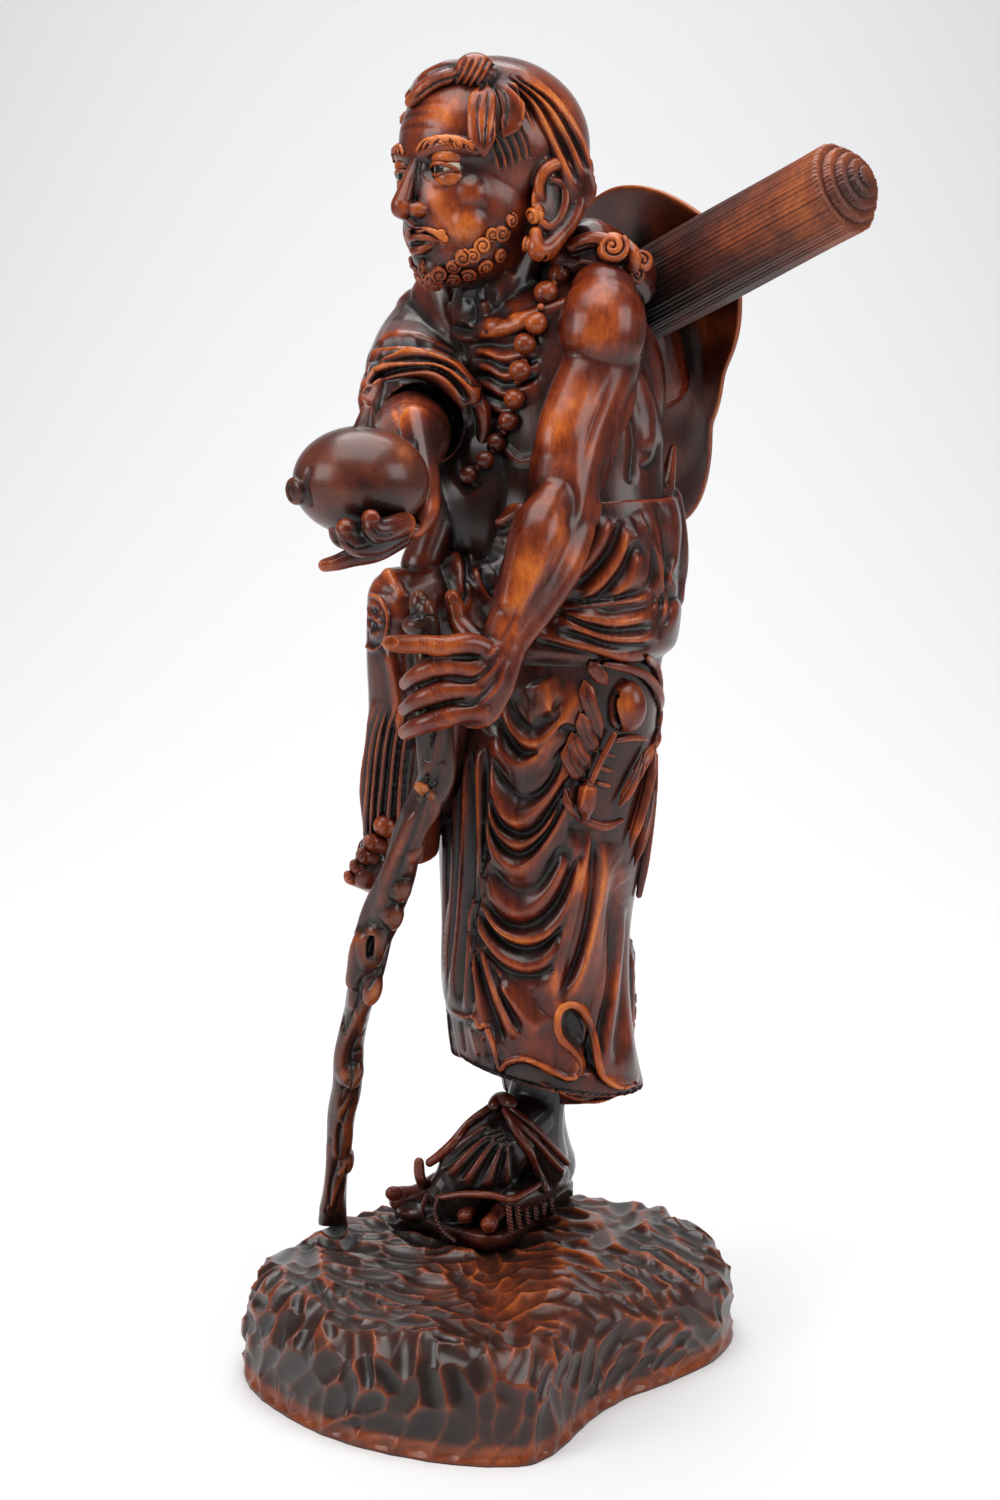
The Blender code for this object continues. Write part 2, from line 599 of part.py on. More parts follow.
def hat_solid():
    """The round hat with its thin wavy brim, hollow towards the back."""
    out = HAT_OUT / np.linalg.norm(HAT_OUT)
    across = np.cross(out, [0, 0, 1])
    across /= np.linalg.norm(across)
    up = np.cross(across, out)
    angles, reach = [2.6, 3.1, 3.6, 4.1], [HAT_RADIUS] * 4
    for spot in HAT_RIM:
        way = at(*spot, 0) - VIEW_FROM
        arm = VIEW_FROM + way * ((HAT_MIDDLE - VIEW_FROM) @ out) / (way @ out) - HAT_MIDDLE
        angles.append(math.atan2(arm @ up, arm @ across))
        reach.append(np.linalg.norm(arm))
    turns = np.arange(60) / 60 * math.tau
    brim = np.interp(turns, angles, reach, period=math.tau)
    brim = (np.roll(brim, 1) + 2 * brim + np.roll(brim, -1)) / 4
    spin = np.outer(np.cos(turns), across) + np.outer(np.sin(turns), up)
    rings = []
    for share, inset in ((0.05, 0.0), (0.5, 0.0), (0.85, 0.0), (1.0, 0.0), (1.0, 3.6), (0.85, 4.2), (0.5, 4.2),
                         (0.05, 4.2)):
        bowl = HAT_BOWL * (1 - share**2) + inset + 2.0 * share**3 * np.sin(3 * turns)
        rings.append(HAT_MIDDLE + out * bowl[:, None] + spin * (brim * share)[:, None])
    return shell(rings)


def strap_region(tree):
    """The shoulder strap's knot and rolls, and what holds the mat to the back."""
    knot = at(614, 250, -4)
    return [
        limb([(560, 268, 10, 20, 1), (600, 262, 8, 24, 1), (640, 276, 30, 22, 1), (650, 300, 50, 24, 1)]),
        ball(knot, (9, 8, 8)),
        ball(at(634, 256, 6), (8, 8, 7)),
        ball(at(638, 280, 14), (8, 9, 9)),
        limb([(602, 290, 40, 40, 1), (640, 330, 66, 36, 1), (660, 380, 74, 30, 1)]),
        limb([(590, 250, 50, 30, 1), (610, 270, 70, 34, 1), (640, 320, 84, 30, 1)]),
    ]


def foot_region():
    """The standing leg and its straw sandal, with the sole cut flat where it stands."""
    outline = [(-53, 62), (-42, 43), (-24, 25), (-8, 13), (4, 17), (14, 36), (29, 74), (38, 94), (27, 105), (6, 98),
               (-24, 84), (-48, 74)]
    ring = smooth_line(outline + outline[:1], 3)[:-1]
    rings = [np.c_[ring, np.full(len(ring), height)] for height in (SOLE - 3, SOLE + 3, SOLE + 6.5)]
    inner = rings[-1].copy()
    inner[:, :2] = inner[:, :2].mean(0) + (inner[:, :2] - inner[:, :2].mean(0)) * 0.93
    inner[:, 2] += 1.5
    parts = [
        shell((rings + [inner])[::-1]),
        limb([(548, 1040, 56, 34, 0.9), (538, 1090, 54, 30, 0.9), (530, 1130, 52, 33, 0.95), (534, 1160, 60, 34, 1)]),
        limb([(528, 1118, 48, 30, 1), (500, 1145, 40, 36, 0.95), (474, 1175, 34, 38, 0.8), (458, 1200, 32, 36, 0.6)]),
        limb([(440, 1196, 46, 16, 0.9), (418, 1200, 52, 15, 0.9), (400, 1202, 54, 13, 0.9)]),
        ball((21, 84, 66), (14, 16, 15)),
        ball((-4, 62, 66), (19, 20, 14)),
        limb([(470, 1205, 28, 14, 0.9), (454, 1214, 24, 12, 0.9)]),
        limb([(500, 1205, 26, 14, 0.9), (480, 1224, 16, 12, 0.9)]),
        limb([(512, 1196, 30, 20, 1.0), (528, 1186, 46, 22, 1.0), (552, 1170, 72, 22, 1.0)]),
        limb([(497, 1102, 30, 12, 0.8), (520, 1112, 24, 8, 0.8), (552, 1140, 36, 8, 0.8), (566, 1160, 56, 8, 0.8)]),
        limb([(503, 1108, 28, 8, 0.8), (522, 1150, 22, 8, 0.8), (538, 1184, 26, 8, 0.8)]),
        limb([(500, 1110, 28, 8, 0.8), (460, 1140, 38, 7, 0.8), (424, 1166, 54, 7, 0.8)]),
        limb([(426, 1164, 54, 9, 0.8), (422, 1190, 46, 9, 0.8), (428, 1216, 42, 9, 0.8)]),
        limb([(443, 1198, 30, 9, 0.8), (470, 1204, 18, 9, 0.8), (504, 1202, 14, 9, 0.8), (536, 1186, 26, 9, 0.8)]),
    ]
    made = skin("foot", parts, GRAIN * 0.6, 2)
    carve(made, [(5, 1.4, ((504, 1115), (480 + 6 * i, 1150), (446 + 12 * i, 1190))) for i in range(5)])
    return made


def toes():
    made = []
    for across, down, depth, size in ((388, 826, -4, 13), (372, 843, -6, 10), (364, 856, -6, 9), (357, 867, -4, 8),
                                      (350, 878, -2, 8)):
        made.append(limb([(across + 12, down + 6, depth + 8, size, 1), (across, down, depth, size, 1)]))
    return made


STAFF_TOP_DEPTH = -46.0
STAFF_LINE = ((424, 612, -46), (428, 640, -46), (433, 690, -46), (436, 745, -44), (433, 785, -40), (410, 832, -33),
              (401, 865, -28), (388, 897, -22), (374, 937, -14), (366, 976, -6), (357, 1014, 3), (349, 1054, 12),
              (346, 1091, 21), (341, 1121, 28), (337, 1164, 38), (334, 1198, 46), (333, 1221, 51))
STAFF_HALF = (0.86, 0.95, 1.0, 1.05, 1.1, 1.0, 1.0, 0.98, 0.98, 1.0, 0.92, 0.9, 0.86, 0.84, 0.84, 0.86, 0.9)


def staff_line(steps=5):
    """The staff's middle line with its radius, in shares."""
    half = STAFF_THICKNESS / SHARE / 2
    rows = [(*at(*spot), half * share) for spot, share in zip(STAFF_LINE, STAFF_HALF)]
    return smooth_line(rows, steps)


def staff_solid():
    line = staff_line()
    sides = 20
    base, faces = tube(line[:, :3], line[:, 3], line[:, 3], sides=sides)
    middles = np.concatenate([line[:1, :3]] * 4 + [line[:, :3]] + [line[-1:, :3]] * 4)
    rings = base[:-2].reshape(-1, sides, 3)
    turns = np.arange(sides) / sides * math.tau
    for i, ring in enumerate(rings):
        twist = 1 + 0.12 * np.sin(2 * turns - i * 0.34) + 0.05 * np.sin(3 * turns + i * 0.9)
        ring[:] = middles[i] + (ring - middles[i]) * twist[:, None]
    parts = [
        shell(list(rings)),
        ball(at(421, 626, -46), (8.2, 7.6, 5.4)),
        ball(at(419, 605, -46), (4.6, 4.6, 6.0)),
        limb([(432, 792, -44, 7, 1), (422, 790, -49, 6, 1), (417, 786, -52, 5, 1)]),
        ball(at(372, 952, -15), (6.5, 6.5, 9)),
        ball(at(351, 1070, 15), (6, 6, 8)),
        ball(at(343, 1160, 37), (5.2, 6, 8)),
    ]
    made = skin("staff", parts, STAFF_GRAIN, 2)
    points = points_of(made)
    points[:, 2] = np.maximum(points[:, 2], SOLE)
    set_points(made, points)
    return made


def staff_channel():
    """The room that the staff takes up in the hand, a clearance wider all round."""
    line = staff_line(3)
    room = line[:, 3] * 1.17 + CLEARANCE / SHARE + 0.5
    parts = [
        tube(line[:, :3], room, room, sides=12),
        ball(at(421, 626, -46), (9.4, 8.8, 6.6)),
        ball(at(419, 603, -46), (5.8, 5.8, 9.0)),
        limb([(436, 792, -42, 11, 1), (422, 790, -49, 9.5, 1), (414, 785, -53, 8, 1)], sides=10),
    ]
    return skin("staff_channel", parts, 1.6, 1)


def eye_ball(side, room=0.0):
    """One inlaid eye, a lens in its socket; with room it is the socket's own shape."""
    size = np.array([EYE_LENGTH / 2, EYE_HEIGHT / 2 * 0.9, EYE_HEIGHT / 2]) / SHARE + room / SHARE
    spot = np.array([side * EYE_SPOT[0], EYE_SPOT[1] + 2.6, EYE_SPOT[2]])
    return head_ball(spot, size, 2)


# Solids


def reduced(made, triangles):
    """The object with fewer triangles, all of them flat."""
    made.data.update()
    flat = made.modifiers.new("Triangles", "TRIANGULATE")
    flat.quad_method = "BEAUTY"
    settled(made)
    fewer = made.modifiers.new("Fewer", "DECIMATE")
    fewer.ratio = min(1.0, triangles / len(made.data.polygons))
    fewer.use_collapse_triangulate = True
    return settled(made)


def cut(made, cutter):
    remove = made.modifiers.new("Cut", "BOOLEAN")
    remove.operation = "DIFFERENCE"
    remove.object = cutter
    settled(made)
    mesh = cutter.data
    bpy.data.objects.remove(cutter)
    bpy.data.meshes.remove(mesh)


def largest_body(made):
    """Drops the crumbs that a cut leaves, so that one body stays."""
    work = bmesh.new()
    work.from_mesh(made.data)
    left = set(work.verts)
    bodies = []
    while left:
        start = left.pop()
        body, front = {start}, [start]
        while front:
            spot = front.pop()
            for edge in spot.link_edges:
                other = edge.other_vert(spot)
                if other not in body:
                    body.add(other)
                    front.append(other)
        left -= body
        bodies.append(body)
    bodies.sort(key=len, reverse=True)
    for body in bodies[1:]:
        bmesh.ops.delete(work, geom=list(body), context="VERTS")
    bmesh.ops.recalc_face_normals(work, faces=work.faces[:])
    work.to_mesh(made.data)
    work.free()


def to_metres(made):
    """From the figure's shares to metres, standing on the plinth with its clearance."""
    points = points_of(made)
    points[:, 2] -= SOLE
    points *= SHARE
    points[:, 2] += PLINTH_HEIGHT + CLEARANCE
    set_points(made, points)


def figure_solid():
    torso = torso_region()
    robe = robe_region()
    arm = left_arm_region()
    body_tree = tree_of(torso)
    robe_tree = tree_of(robe)
    parts = beads(body_tree) + waist_items(robe_tree) + strap_region(body_tree) + load_region() + toes()
    parts += head_region()
    for region in (torso, robe, arm, right_arm_region(), sleeve_region(), foot_region()):
        parts.append(mesh_of(region))
    made = skin("figure", parts, GRAIN, 1)
    points = points_of(made)
    points[:, 2] = np.maximum(points[:, 2], SOLE)
    set_points(made, points)
    reduced(made, FIGURE_TRIANGLES)
    cut(made, staff_channel())
    for side in (-1, 1):
        cut(made, as_object("socket", [eye_ball(side, CLEARANCE)]))
    largest_body(made)
    points = points_of(made)
    points[:, 2] = np.maximum(points[:, 2], SOLE)
    set_points(made, points)
    return made


# The plinth

FOOTPRINT = ((-121, -13), (-112, -38), (-89, -69), (-61, -91), (-30, -105), (-4, -110), (14, -107), (27, -92),
             (40, -66), (55, -45), (74, -29), (95, -9), (109, 12), (115, 34), (111, 56), (96, 77), (74, 96),
             (44, 111), (6, 117), (-28, 113), (-58, 97), (-86, 71), (-107, 44), (-119, 16))
FOOTPRINT_SIZE = (236.0, 228.0)
PLINTH_SIDES = 80
PLINTH_PROFILE = ((0.0, 0.0), (0.0, 0.16), (0.4, 0.36), (1.2, 0.56), (3.0, 0.74), (7.0, 0.9), (14.0, 1.0))
TOP_SHARES = (0.84, 0.74, 0.63, 0.51, 0.38, 0.25, 0.12)


def gouge_pattern(spots, across, along, seed, count, low, high):
    """Shallow scoops side by side: how deep each spot lies in its scoop, from 0 at the ridges to 1."""
    dice = np.random.default_rng(seed)
    seeds = dice.uniform(low, high, (count, len(low)))
    lean = dice.uniform(-0.5, 0.5, count)
    best = np.full((len(spots), 2), 1e9)
    for middle, turn in zip(seeds, lean):
        gap = spots - middle
        u = gap[:, 0] * math.cos(turn) + gap[:, 1] * math.sin(turn)
        v = gap[:, 1] * math.cos(turn) - gap[:, 0] * math.sin(turn)
        away = np.hypot(u / across, v / along)
        nearer = away < best[:, 0]
        best[:, 1] = np.where(nearer, best[:, 0], np.minimum(best[:, 1], away))
        best[:, 0] = np.where(nearer, away, best[:, 0])
    return np.clip((best[:, 1] - best[:, 0]) / 0.8, 0, 1)


def plinth_solid():
    ring = smooth_line(FOOTPRINT + FOOTPRINT[:1], 8)[:-1]
    lengths = np.concatenate([[0], np.cumsum(np.linalg.norm(np.diff(np.vstack([ring, ring[:1]]), axis=0), axis=1))])
    even = np.linspace(0, lengths[-1], PLINTH_SIDES, endpoint=False)
    ring = np.c_[np.interp(even, lengths, [*ring[:, 0], ring[0, 0]]),
                 np.interp(even, lengths, [*ring[:, 1], ring[0, 1]])]
    ring *= np.array([PLINTH_WIDTH, PLINTH_DEPTH]) / np.array(FOOTPRINT_SIZE)
    inward = ring.mean(0) - ring
    inward /= np.linalg.norm(inward, axis=1)[:, None]
    rings = []
    for inset, height in PLINTH_PROFILE:
        flat = ring + inward * inset * 0.001
        rings.append(np.c_[flat, np.full(len(flat), height * (PLINTH_HEIGHT - 0.001))])
    for share in TOP_SHARES:
        flat = ring.mean(0) + (ring + inward * 0.014 - ring.mean(0)) * share / 0.92
        rings.append(np.c_[flat, np.full(len(flat), PLINTH_HEIGHT)])
    points, faces = shell(rings)
    around = np.tile(even, len(rings))
    upright = points[:-2, 2] < PLINTH_HEIGHT * 0.97
    scoop = np.zeros(len(points))
    low, high = (0, 0), (lengths[-1] * 0.001 * 1.02, PLINTH_HEIGHT)
    scoop[:-2][upright] = gouge_pattern(np.c_[around * 0.001, points[:-2, 2]][upright], GOUGE_LENGTH * 0.4,
                                        GOUGE_LENGTH, 3, 150, low, high)
    corner = (PLINTH_WIDTH / 2, PLINTH_DEPTH / 2)
    scoop[:-2][~upright] = gouge_pattern(points[:-2, :2][~upright], GOUGE_LENGTH, GOUGE_LENGTH * 0.45, 5, 190,
                                         (-corner[0], -corner[1]), corner)
    out = np.zeros_like(points)
    out[:-2, :2] = np.tile(-inward, (len(rings), 1))
    inside = ~upright
    rise = points[:-2, 2].copy()
    mound = np.exp(-((points[:-2, 0] - 0.045) ** 2 + (points[:-2, 1] - 0.09) ** 2) / 0.0028) * ROCK_RISE
    dip = 0.004 * np.sin(points[:-2, 0] * 55) * np.cos(points[:-2, 1] * 48 + 1)
    pad = pad_share(points[:-2, :2])
    fall = 0.007 * np.clip((points[:-2, 0] - 0.030) / 0.07, 0, 1)
    rise[inside] += ((mound - fall + dip - GOUGE_DEPTH * 1.6 * scoop[:-2]) * (1 - pad))[inside]
    points[:-2, 2] = np.where(inside, rise, points[:-2, 2])
    side_in = GOUGE_DEPTH * 1.4 * scoop[:-2] * upright * np.clip(points[:-2, 2] / 0.006, 0, 1)
    points[:-2] -= out[:-2] * side_in[:, None]
    points[-1, 2] = points[-2 - PLINTH_SIDES : -2, 2].mean()
    return as_object("plinth", [(points, faces)])


def pad_share(spots):
    """1 where the sandal and the staff stand, fading to 0 around them."""
    line = np.array([(30.0, 84.0), (-28.0, 40.0)]) * SHARE
    away, _ = near_line(spots, line)
    sandal = np.clip(1 - (away - 0.042) / 0.012, 0, 1)
    foot = at(333, 1221, 51)[:2] * SHARE
    away = np.linalg.norm(spots - foot, axis=1)
    return np.maximum(sandal, np.clip(1 - (away - 0.015) / 0.010, 0, 1))


# Materials


def wood(name, colour, roughness):
    made = bpy.data.materials.new(name)
    made.use_nodes = True
    shader = made.node_tree.nodes["Principled BSDF"]
    shader.inputs["Base Color"].default_value = (*colour, 1.0)
    shader.inputs["Roughness"].default_value = roughness
    shader.inputs["Metallic"].default_value = 0.0
    return made


def finish(made, material):
    made.data.materials.clear()
    made.data.materials.append(material)
    made.data.shade_smooth()
    made.data.set_sharp_from_angle(angle=math.radians(50))


def main():
    for old in list(bpy.data.objects):
        bpy.data.objects.remove(old)
    carved = wood("carved_hardwood", (0.13, 0.035, 0.018), 0.32)
    plinth = plinth_solid()
    finish(plinth, wood("gouged_hardwood", (0.05, 0.025, 0.018), 0.45))
    figure = figure_solid()
    to_metres(figure)
    finish(figure, carved)
    staff = reduced(staff_solid(), STAFF_TRIANGLES)
    to_metres(staff)
    finish(staff, wood("staff_hardwood", (0.11, 0.032, 0.018), 0.32))
    bone = wood("eye_inlay", (0.62, 0.55, 0.42), 0.25)
    for name, side in (("left_eye", -1), ("right_eye", 1)):
        eye = as_object(name, [eye_ball(side)])
        to_metres(eye)
        finish(eye, bone)


main()
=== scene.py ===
"""Hardwood okimono of an immortal with a staff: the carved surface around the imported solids."""

import math

import bmesh
import bpy
import numpy as np
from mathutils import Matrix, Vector
from mathutils.bvhtree import BVHTree


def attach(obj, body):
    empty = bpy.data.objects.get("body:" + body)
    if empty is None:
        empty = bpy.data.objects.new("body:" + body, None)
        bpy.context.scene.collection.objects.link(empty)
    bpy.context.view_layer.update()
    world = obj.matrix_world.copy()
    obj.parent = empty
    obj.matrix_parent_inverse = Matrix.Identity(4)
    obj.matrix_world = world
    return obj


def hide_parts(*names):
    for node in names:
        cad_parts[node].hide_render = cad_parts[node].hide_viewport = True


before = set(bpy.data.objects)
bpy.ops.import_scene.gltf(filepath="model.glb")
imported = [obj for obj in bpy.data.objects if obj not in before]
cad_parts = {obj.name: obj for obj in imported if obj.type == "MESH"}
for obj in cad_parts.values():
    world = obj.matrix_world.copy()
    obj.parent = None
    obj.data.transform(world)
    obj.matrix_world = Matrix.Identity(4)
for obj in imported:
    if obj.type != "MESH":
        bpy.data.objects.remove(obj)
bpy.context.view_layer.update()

bl_info = {
    "name": "Hardwood okimono",
    "version": (1, 0, 0),
    "blender": (4, 5, 0),
    "location": "View3D > Sidebar > Okimono",
    "description": "Carves the standing immortal, its staff and its gouged plinth in stained hardwood",
    "category": "Add Mesh",
}

# Shapes are drawn in millimetres, and a share turns them into metres. The sole stands this high.
SHARE = 0.001
SOLE = 50.0

# All of it is lifted this far, in metres, off the shelf that it stands on
LIFT = 0.0003

# Front view: a frame 1000 wide and 1500 high, seen from 950 mm off, looking 7 degrees down
VIEW_FROM = np.array([0.0, -950.0, 410.0])
VIEW_TILT = math.radians(7)
VIEW_LENS = 2083.33

# The way the body faces, and its left side
FRONT = np.array([-0.707, -0.707, 0.0])
LEFT = np.array([0.707, -0.707, 0.0])

# How far out along a rounded end its rings lie, as shares of its radius
END_SHARES = (0.3, 0.6, 0.87, 0.98)

# How squarely a surface has to face the front view to be carved in full
OUTLINE_FADE = 0.35

# How sharply a cut and a valley between folds come to their bottom, and how much deeper than drawn a valley goes
CUT_SHARPNESS = 1.4
VALLEY_SHARPNESS = 1.3
VALLEY_DEPTH = 1.25

# The share of a rope's length over which its end tapers
ROPE_TAPER = 0.2

# Relief is weighed at three sizes, each (passes of smoothing, weight), on a mesh with edges about this long
RELIEF_LEVELS = ((3, 0.9), (14, 0.75), (48, 0.38))
USUAL_EDGE = 0.85
PACE_RANGE = (0.3, 3.0)
RELIEF_GAIN = 0.75


# Places in the front view


def at(across, down, depth):
    """The point that the front view shows at (across, down), this deep behind the plinth's centre."""
    side = (across - 500.0) / VIEW_LENS
    rise = (750.0 - down) / VIEW_LENS
    ahead = math.cos(VIEW_TILT) + rise * math.sin(VIEW_TILT)
    up = rise * math.cos(VIEW_TILT) - math.sin(VIEW_TILT)
    reach = (depth - VIEW_FROM[1]) / ahead
    return VIEW_FROM + reach * np.array([side, ahead, up])


def seen(points):
    """Where the front view shows each point, as (across, down)."""
    gap = points - VIEW_FROM
    ahead = gap[:, 1] * math.cos(VIEW_TILT) - gap[:, 2] * math.sin(VIEW_TILT)
    up = gap[:, 2] * math.cos(VIEW_TILT) + gap[:, 1] * math.sin(VIEW_TILT)
    return np.stack([500 + VIEW_LENS * gap[:, 0] / ahead, 750 - VIEW_LENS * up / ahead], 1)


def wide(length, depth=0.0):
    """A length in the front view's frame, in millimetres at this depth."""
    return length * (depth - VIEW_FROM[1]) / VIEW_LENS


def unit(way):
    """The same way with a length of 1."""
    return way / np.linalg.norm(way)


def unit_rows(ways):
    return ways / np.linalg.norm(ways, axis=1)[:, None]


# Meshes as (points, faces)


def smooth_line(points, steps):
    """A smooth line through rows of numbers, with this many steps between two of them."""
    rows = np.asarray(points, float)
    rows = np.vstack([2 * rows[0] - rows[1], rows, 2 * rows[-1] - rows[-2]])
    line = []
    for i in range(1, len(rows) - 2):
        a, b, c, d = rows[i - 1 : i + 3]
        for t in np.arange(steps) / steps:
            bend = (2 * a - 5 * b + 4 * c - d) * t**2 + (3 * b - a - 3 * c + d) * t**3
            line.append(0.5 * (2 * b + (c - a) * t + bend))
    line.append(rows[-2])
    return np.array(line)


def shell(rings):
    """A closed skin over rings of points, with a fan at each end."""
    count, sides = len(rings), len(rings[0])
    points = np.concatenate([np.concatenate(rings), [rings[0].mean(0), rings[-1].mean(0)]])
    faces = []
    for i in range(count - 1):
        for j in range(sides):
            k = (j + 1) % sides
            faces.append((i * sides + j, i * sides + k, (i + 1) * sides + k, (i + 1) * sides + j))
    first, last = count * sides, count * sides + 1
    for j in range(sides):
        k = (j + 1) % sides
        faces.append((first, k, j))
        faces.append((last, (count - 1) * sides + j, (count - 1) * sides + k))
    return points, faces


def tube(line, widths, depths, towards=(0.0, 1.0, 0.0), sides=20, rounded=(1.0, 1.0)):
    """A limb along a line, oval where its width and depth differ, with rounded ends."""
    line = np.asarray(line, float)
    ways = unit_rows(np.gradient(line, axis=0))
    turns = np.arange(sides) / sides * math.tau

    def ring(middle, way, width, depth):
        through = np.asarray(towards, float)
        through = through - way * (through @ way)
        if np.linalg.norm(through) < 0.15:
            through = np.array([0.0, 0.0, 1.0]) - way * way[2]
        through = unit(through)
        across = np.cross(through, way)
        return middle + np.outer(np.cos(turns) * width, across) + np.outer(np.sin(turns) * depth, through)

    def end_rings(end, sign, shares):
        """The rings of a rounded end, or none where the end is flat."""
        if not rounded[end]:
            return []
        made = []
        for share in shares:
            out = ways[end] * widths[end] * share * rounded[end]
            thin = math.sqrt(1 - share**2)
            made.append(ring(line[end] + sign * out, ways[end], widths[end] * thin, depths[end] * thin))
        return made

    body = [ring(*station) for station in zip(line, ways, widths, depths)]
    return shell(end_rings(0, -1, END_SHARES[::-1]) + body + end_rings(-1, 1, END_SHARES))


def limb(stations, steps=5, **more):
    """A limb through (across, down, depth, half width in the frame), and how deep it is where it isn't round."""
    rows = []
    for across, down, depth, half, *share in stations:
        size = wide(half, depth)
        rows.append((*at(across, down, depth), size, size * (share[0] if share else 1.0)))
    line = smooth_line(rows, steps)
    return tube(line[:, :3], line[:, 3], line[:, 4], **more)


def ball(middle, radii, axes=None, fine=4):
    """An ellipsoid with its radii along these axes."""
    made = bmesh.new()
    bmesh.ops.create_icosphere(made, subdivisions=fine, radius=1.0)
    made.verts.ensure_lookup_table()
    points = np.array([v.co[:] for v in made.verts])
    faces = [tuple(v.index for v in f.verts) for f in made.faces]
    made.free()
    turned = np.eye(3) if axes is None else np.asarray(axes, float)
    return np.asarray(middle, float) + (points * np.asarray(radii, float)) @ turned, faces


def stack(sections, steps=5, sides=72):
    """The body's cross-sections from the top down, each turned the way the body faces.

    A section is (left edge, right edge, down at the left, down at the right, depth, breadth share).
    """
    turns = np.arange(sides) / sides * math.tau
    rings = []
    for left, right, down_left, down_right, depth, share in smooth_line(sections, steps):
        a = at(left, down_left, depth)
        b = at(right, down_right, depth)
        half = (b[0] - a[0]) / 2
        thin = half * math.sqrt(2 / (1 + share**2))
        ring = np.outer(np.cos(turns) * thin * share, LEFT) + np.outer(np.sin(turns) * thin, FRONT)
        ring[:, 2] = ring[:, 0] / half * (b[2] - a[2]) / 2
        rings.append((a + b) / 2 + ring)
    return shell(rings)


def joined(parts):
    """Many meshes as one list of points and faces."""
    points, faces, start = [], [], 0
    for part_points, part_faces in parts:
        points.append(part_points)
        faces += [tuple(i + start for i in face) for face in part_faces]
        start += len(part_points)
    return np.concatenate(points), faces


def as_object(name, parts):
    """A new object in the scene with this name and these parts."""
    points, faces = joined(parts)
    mesh = bpy.data.meshes.new(name)
    mesh.from_pydata(points.tolist(), [], faces)
    made = bpy.data.objects.new(name, mesh)
    bpy.context.scene.collection.objects.link(made)
    return made


def select_only(made, *others):
    """Selects these objects and no others, and makes the first one active."""
    bpy.ops.object.select_all(action="DESELECT")
    for item in (made, *others):
        item.select_set(True)
    bpy.context.view_layer.objects.active = made


def applied(made, kind, **values):
    """Adds a modifier with these values and applies it."""
    select_only(made)
    modifier = made.modifiers.new(kind.title(), kind)
    for name, value in values.items():
        setattr(modifier, name, value)
    bpy.ops.object.modifier_apply(modifier=modifier.name)
    return made


def skin(name, parts, grain, soften=4):
    """One skin over all the parts, with the joins softened."""
    made = as_object(name, parts)
    applied(made, "REMESH", mode="VOXEL", voxel_size=grain)
    if soften:
        applied(made, "SMOOTH", factor=0.5, iterations=soften)
    return made


def hollowed(made, parts):
    """The object with the parts' room cut out of it."""
    cutter = as_object("cutter", parts)
    applied(made, "BOOLEAN", operation="DIFFERENCE", object=cutter)
    bpy.data.meshes.remove(cutter.data)
    return made


def points_of(made):
    return numbers_of(made.data.vertices, "co", len(made.data.vertices))


def normals_of(made):
    return numbers_of(made.data.vertex_normals, "vector", len(made.data.vertices))


def as_part(made):
    """An object's points and faces, as a part of another."""
    return points_of(made), [tuple(f.vertices) for f in made.data.polygons]


def used_up(made):
    """An object's points and faces, with the object itself gone."""
    part = as_part(made)
    bpy.data.meshes.remove(made.data)
    return part


def raised_to(made, level):
    """Lifts all that lies below this level up to it."""
    points = points_of(made)
    points[:, 2] = np.maximum(points[:, 2], level)
    set_points(made, points)
    return made


def store(made, name, values):
    """Stores one number on each point, which a material reads by this name."""
    made.data.attributes.new(name, "FLOAT", "POINT").data.foreach_set("value", values.astype(np.float32))


def set_points(made, points):
    made.data.vertices.foreach_set("co", points.astype(np.float32).ravel())
    made.data.update()


def add_parts(made, parts):
    """Joins separate small pieces, such as beads or curls, to a carved object."""
    select_only(made, as_object("extra", parts))
    bpy.ops.object.join()
    return made


# Carving


def near_line(spots, line):
    """For each spot, its distance to a drawn line and how far along the line it lies, from 0 to 1."""
    best = np.full(len(spots), 1e9)
    along = np.zeros(len(spots))
    lengths = np.linalg.norm(np.diff(line, axis=0), axis=1)
    starts = np.concatenate([[0], np.cumsum(lengths)])
    for a, b, length, start in zip(line[:-1], line[1:], lengths, starts[:-1]):
        way = (b - a) / max(length, 1e-9)
        t = np.clip((spots - a) @ way, 0, length)
        away = np.linalg.norm(spots - a - t[:, None] * way, axis=1)
        closer = away < best
        best[closer] = away[closer]
        along[closer] = (start + t[closer]) / starts[-1]
    return best, along


def facing_front(points, normals):
    """1 where the surface faces the front view, fading to 0 at its outline."""
    look = unit_rows(points - VIEW_FROM)
    return np.clip(-(look * normals).sum(1) / OUTLINE_FADE, 0, 1)


def drawn_near(spots, front, line, margin):
    """Which points of the front lie within a margin of a drawn line's box."""
    low, high = line.min(0) - margin, line.max(0) + margin
    return np.flatnonzero(((spots > low) & (spots < high)).all(1) & (front > 0))


def end_fade(along, taper):
    """How tall a carved line is along its length, from 0 at both ends to 1."""
    ends = np.clip(np.minimum(along, 1 - along) / taper, 0, 1)
    return ends * (2 - ends)


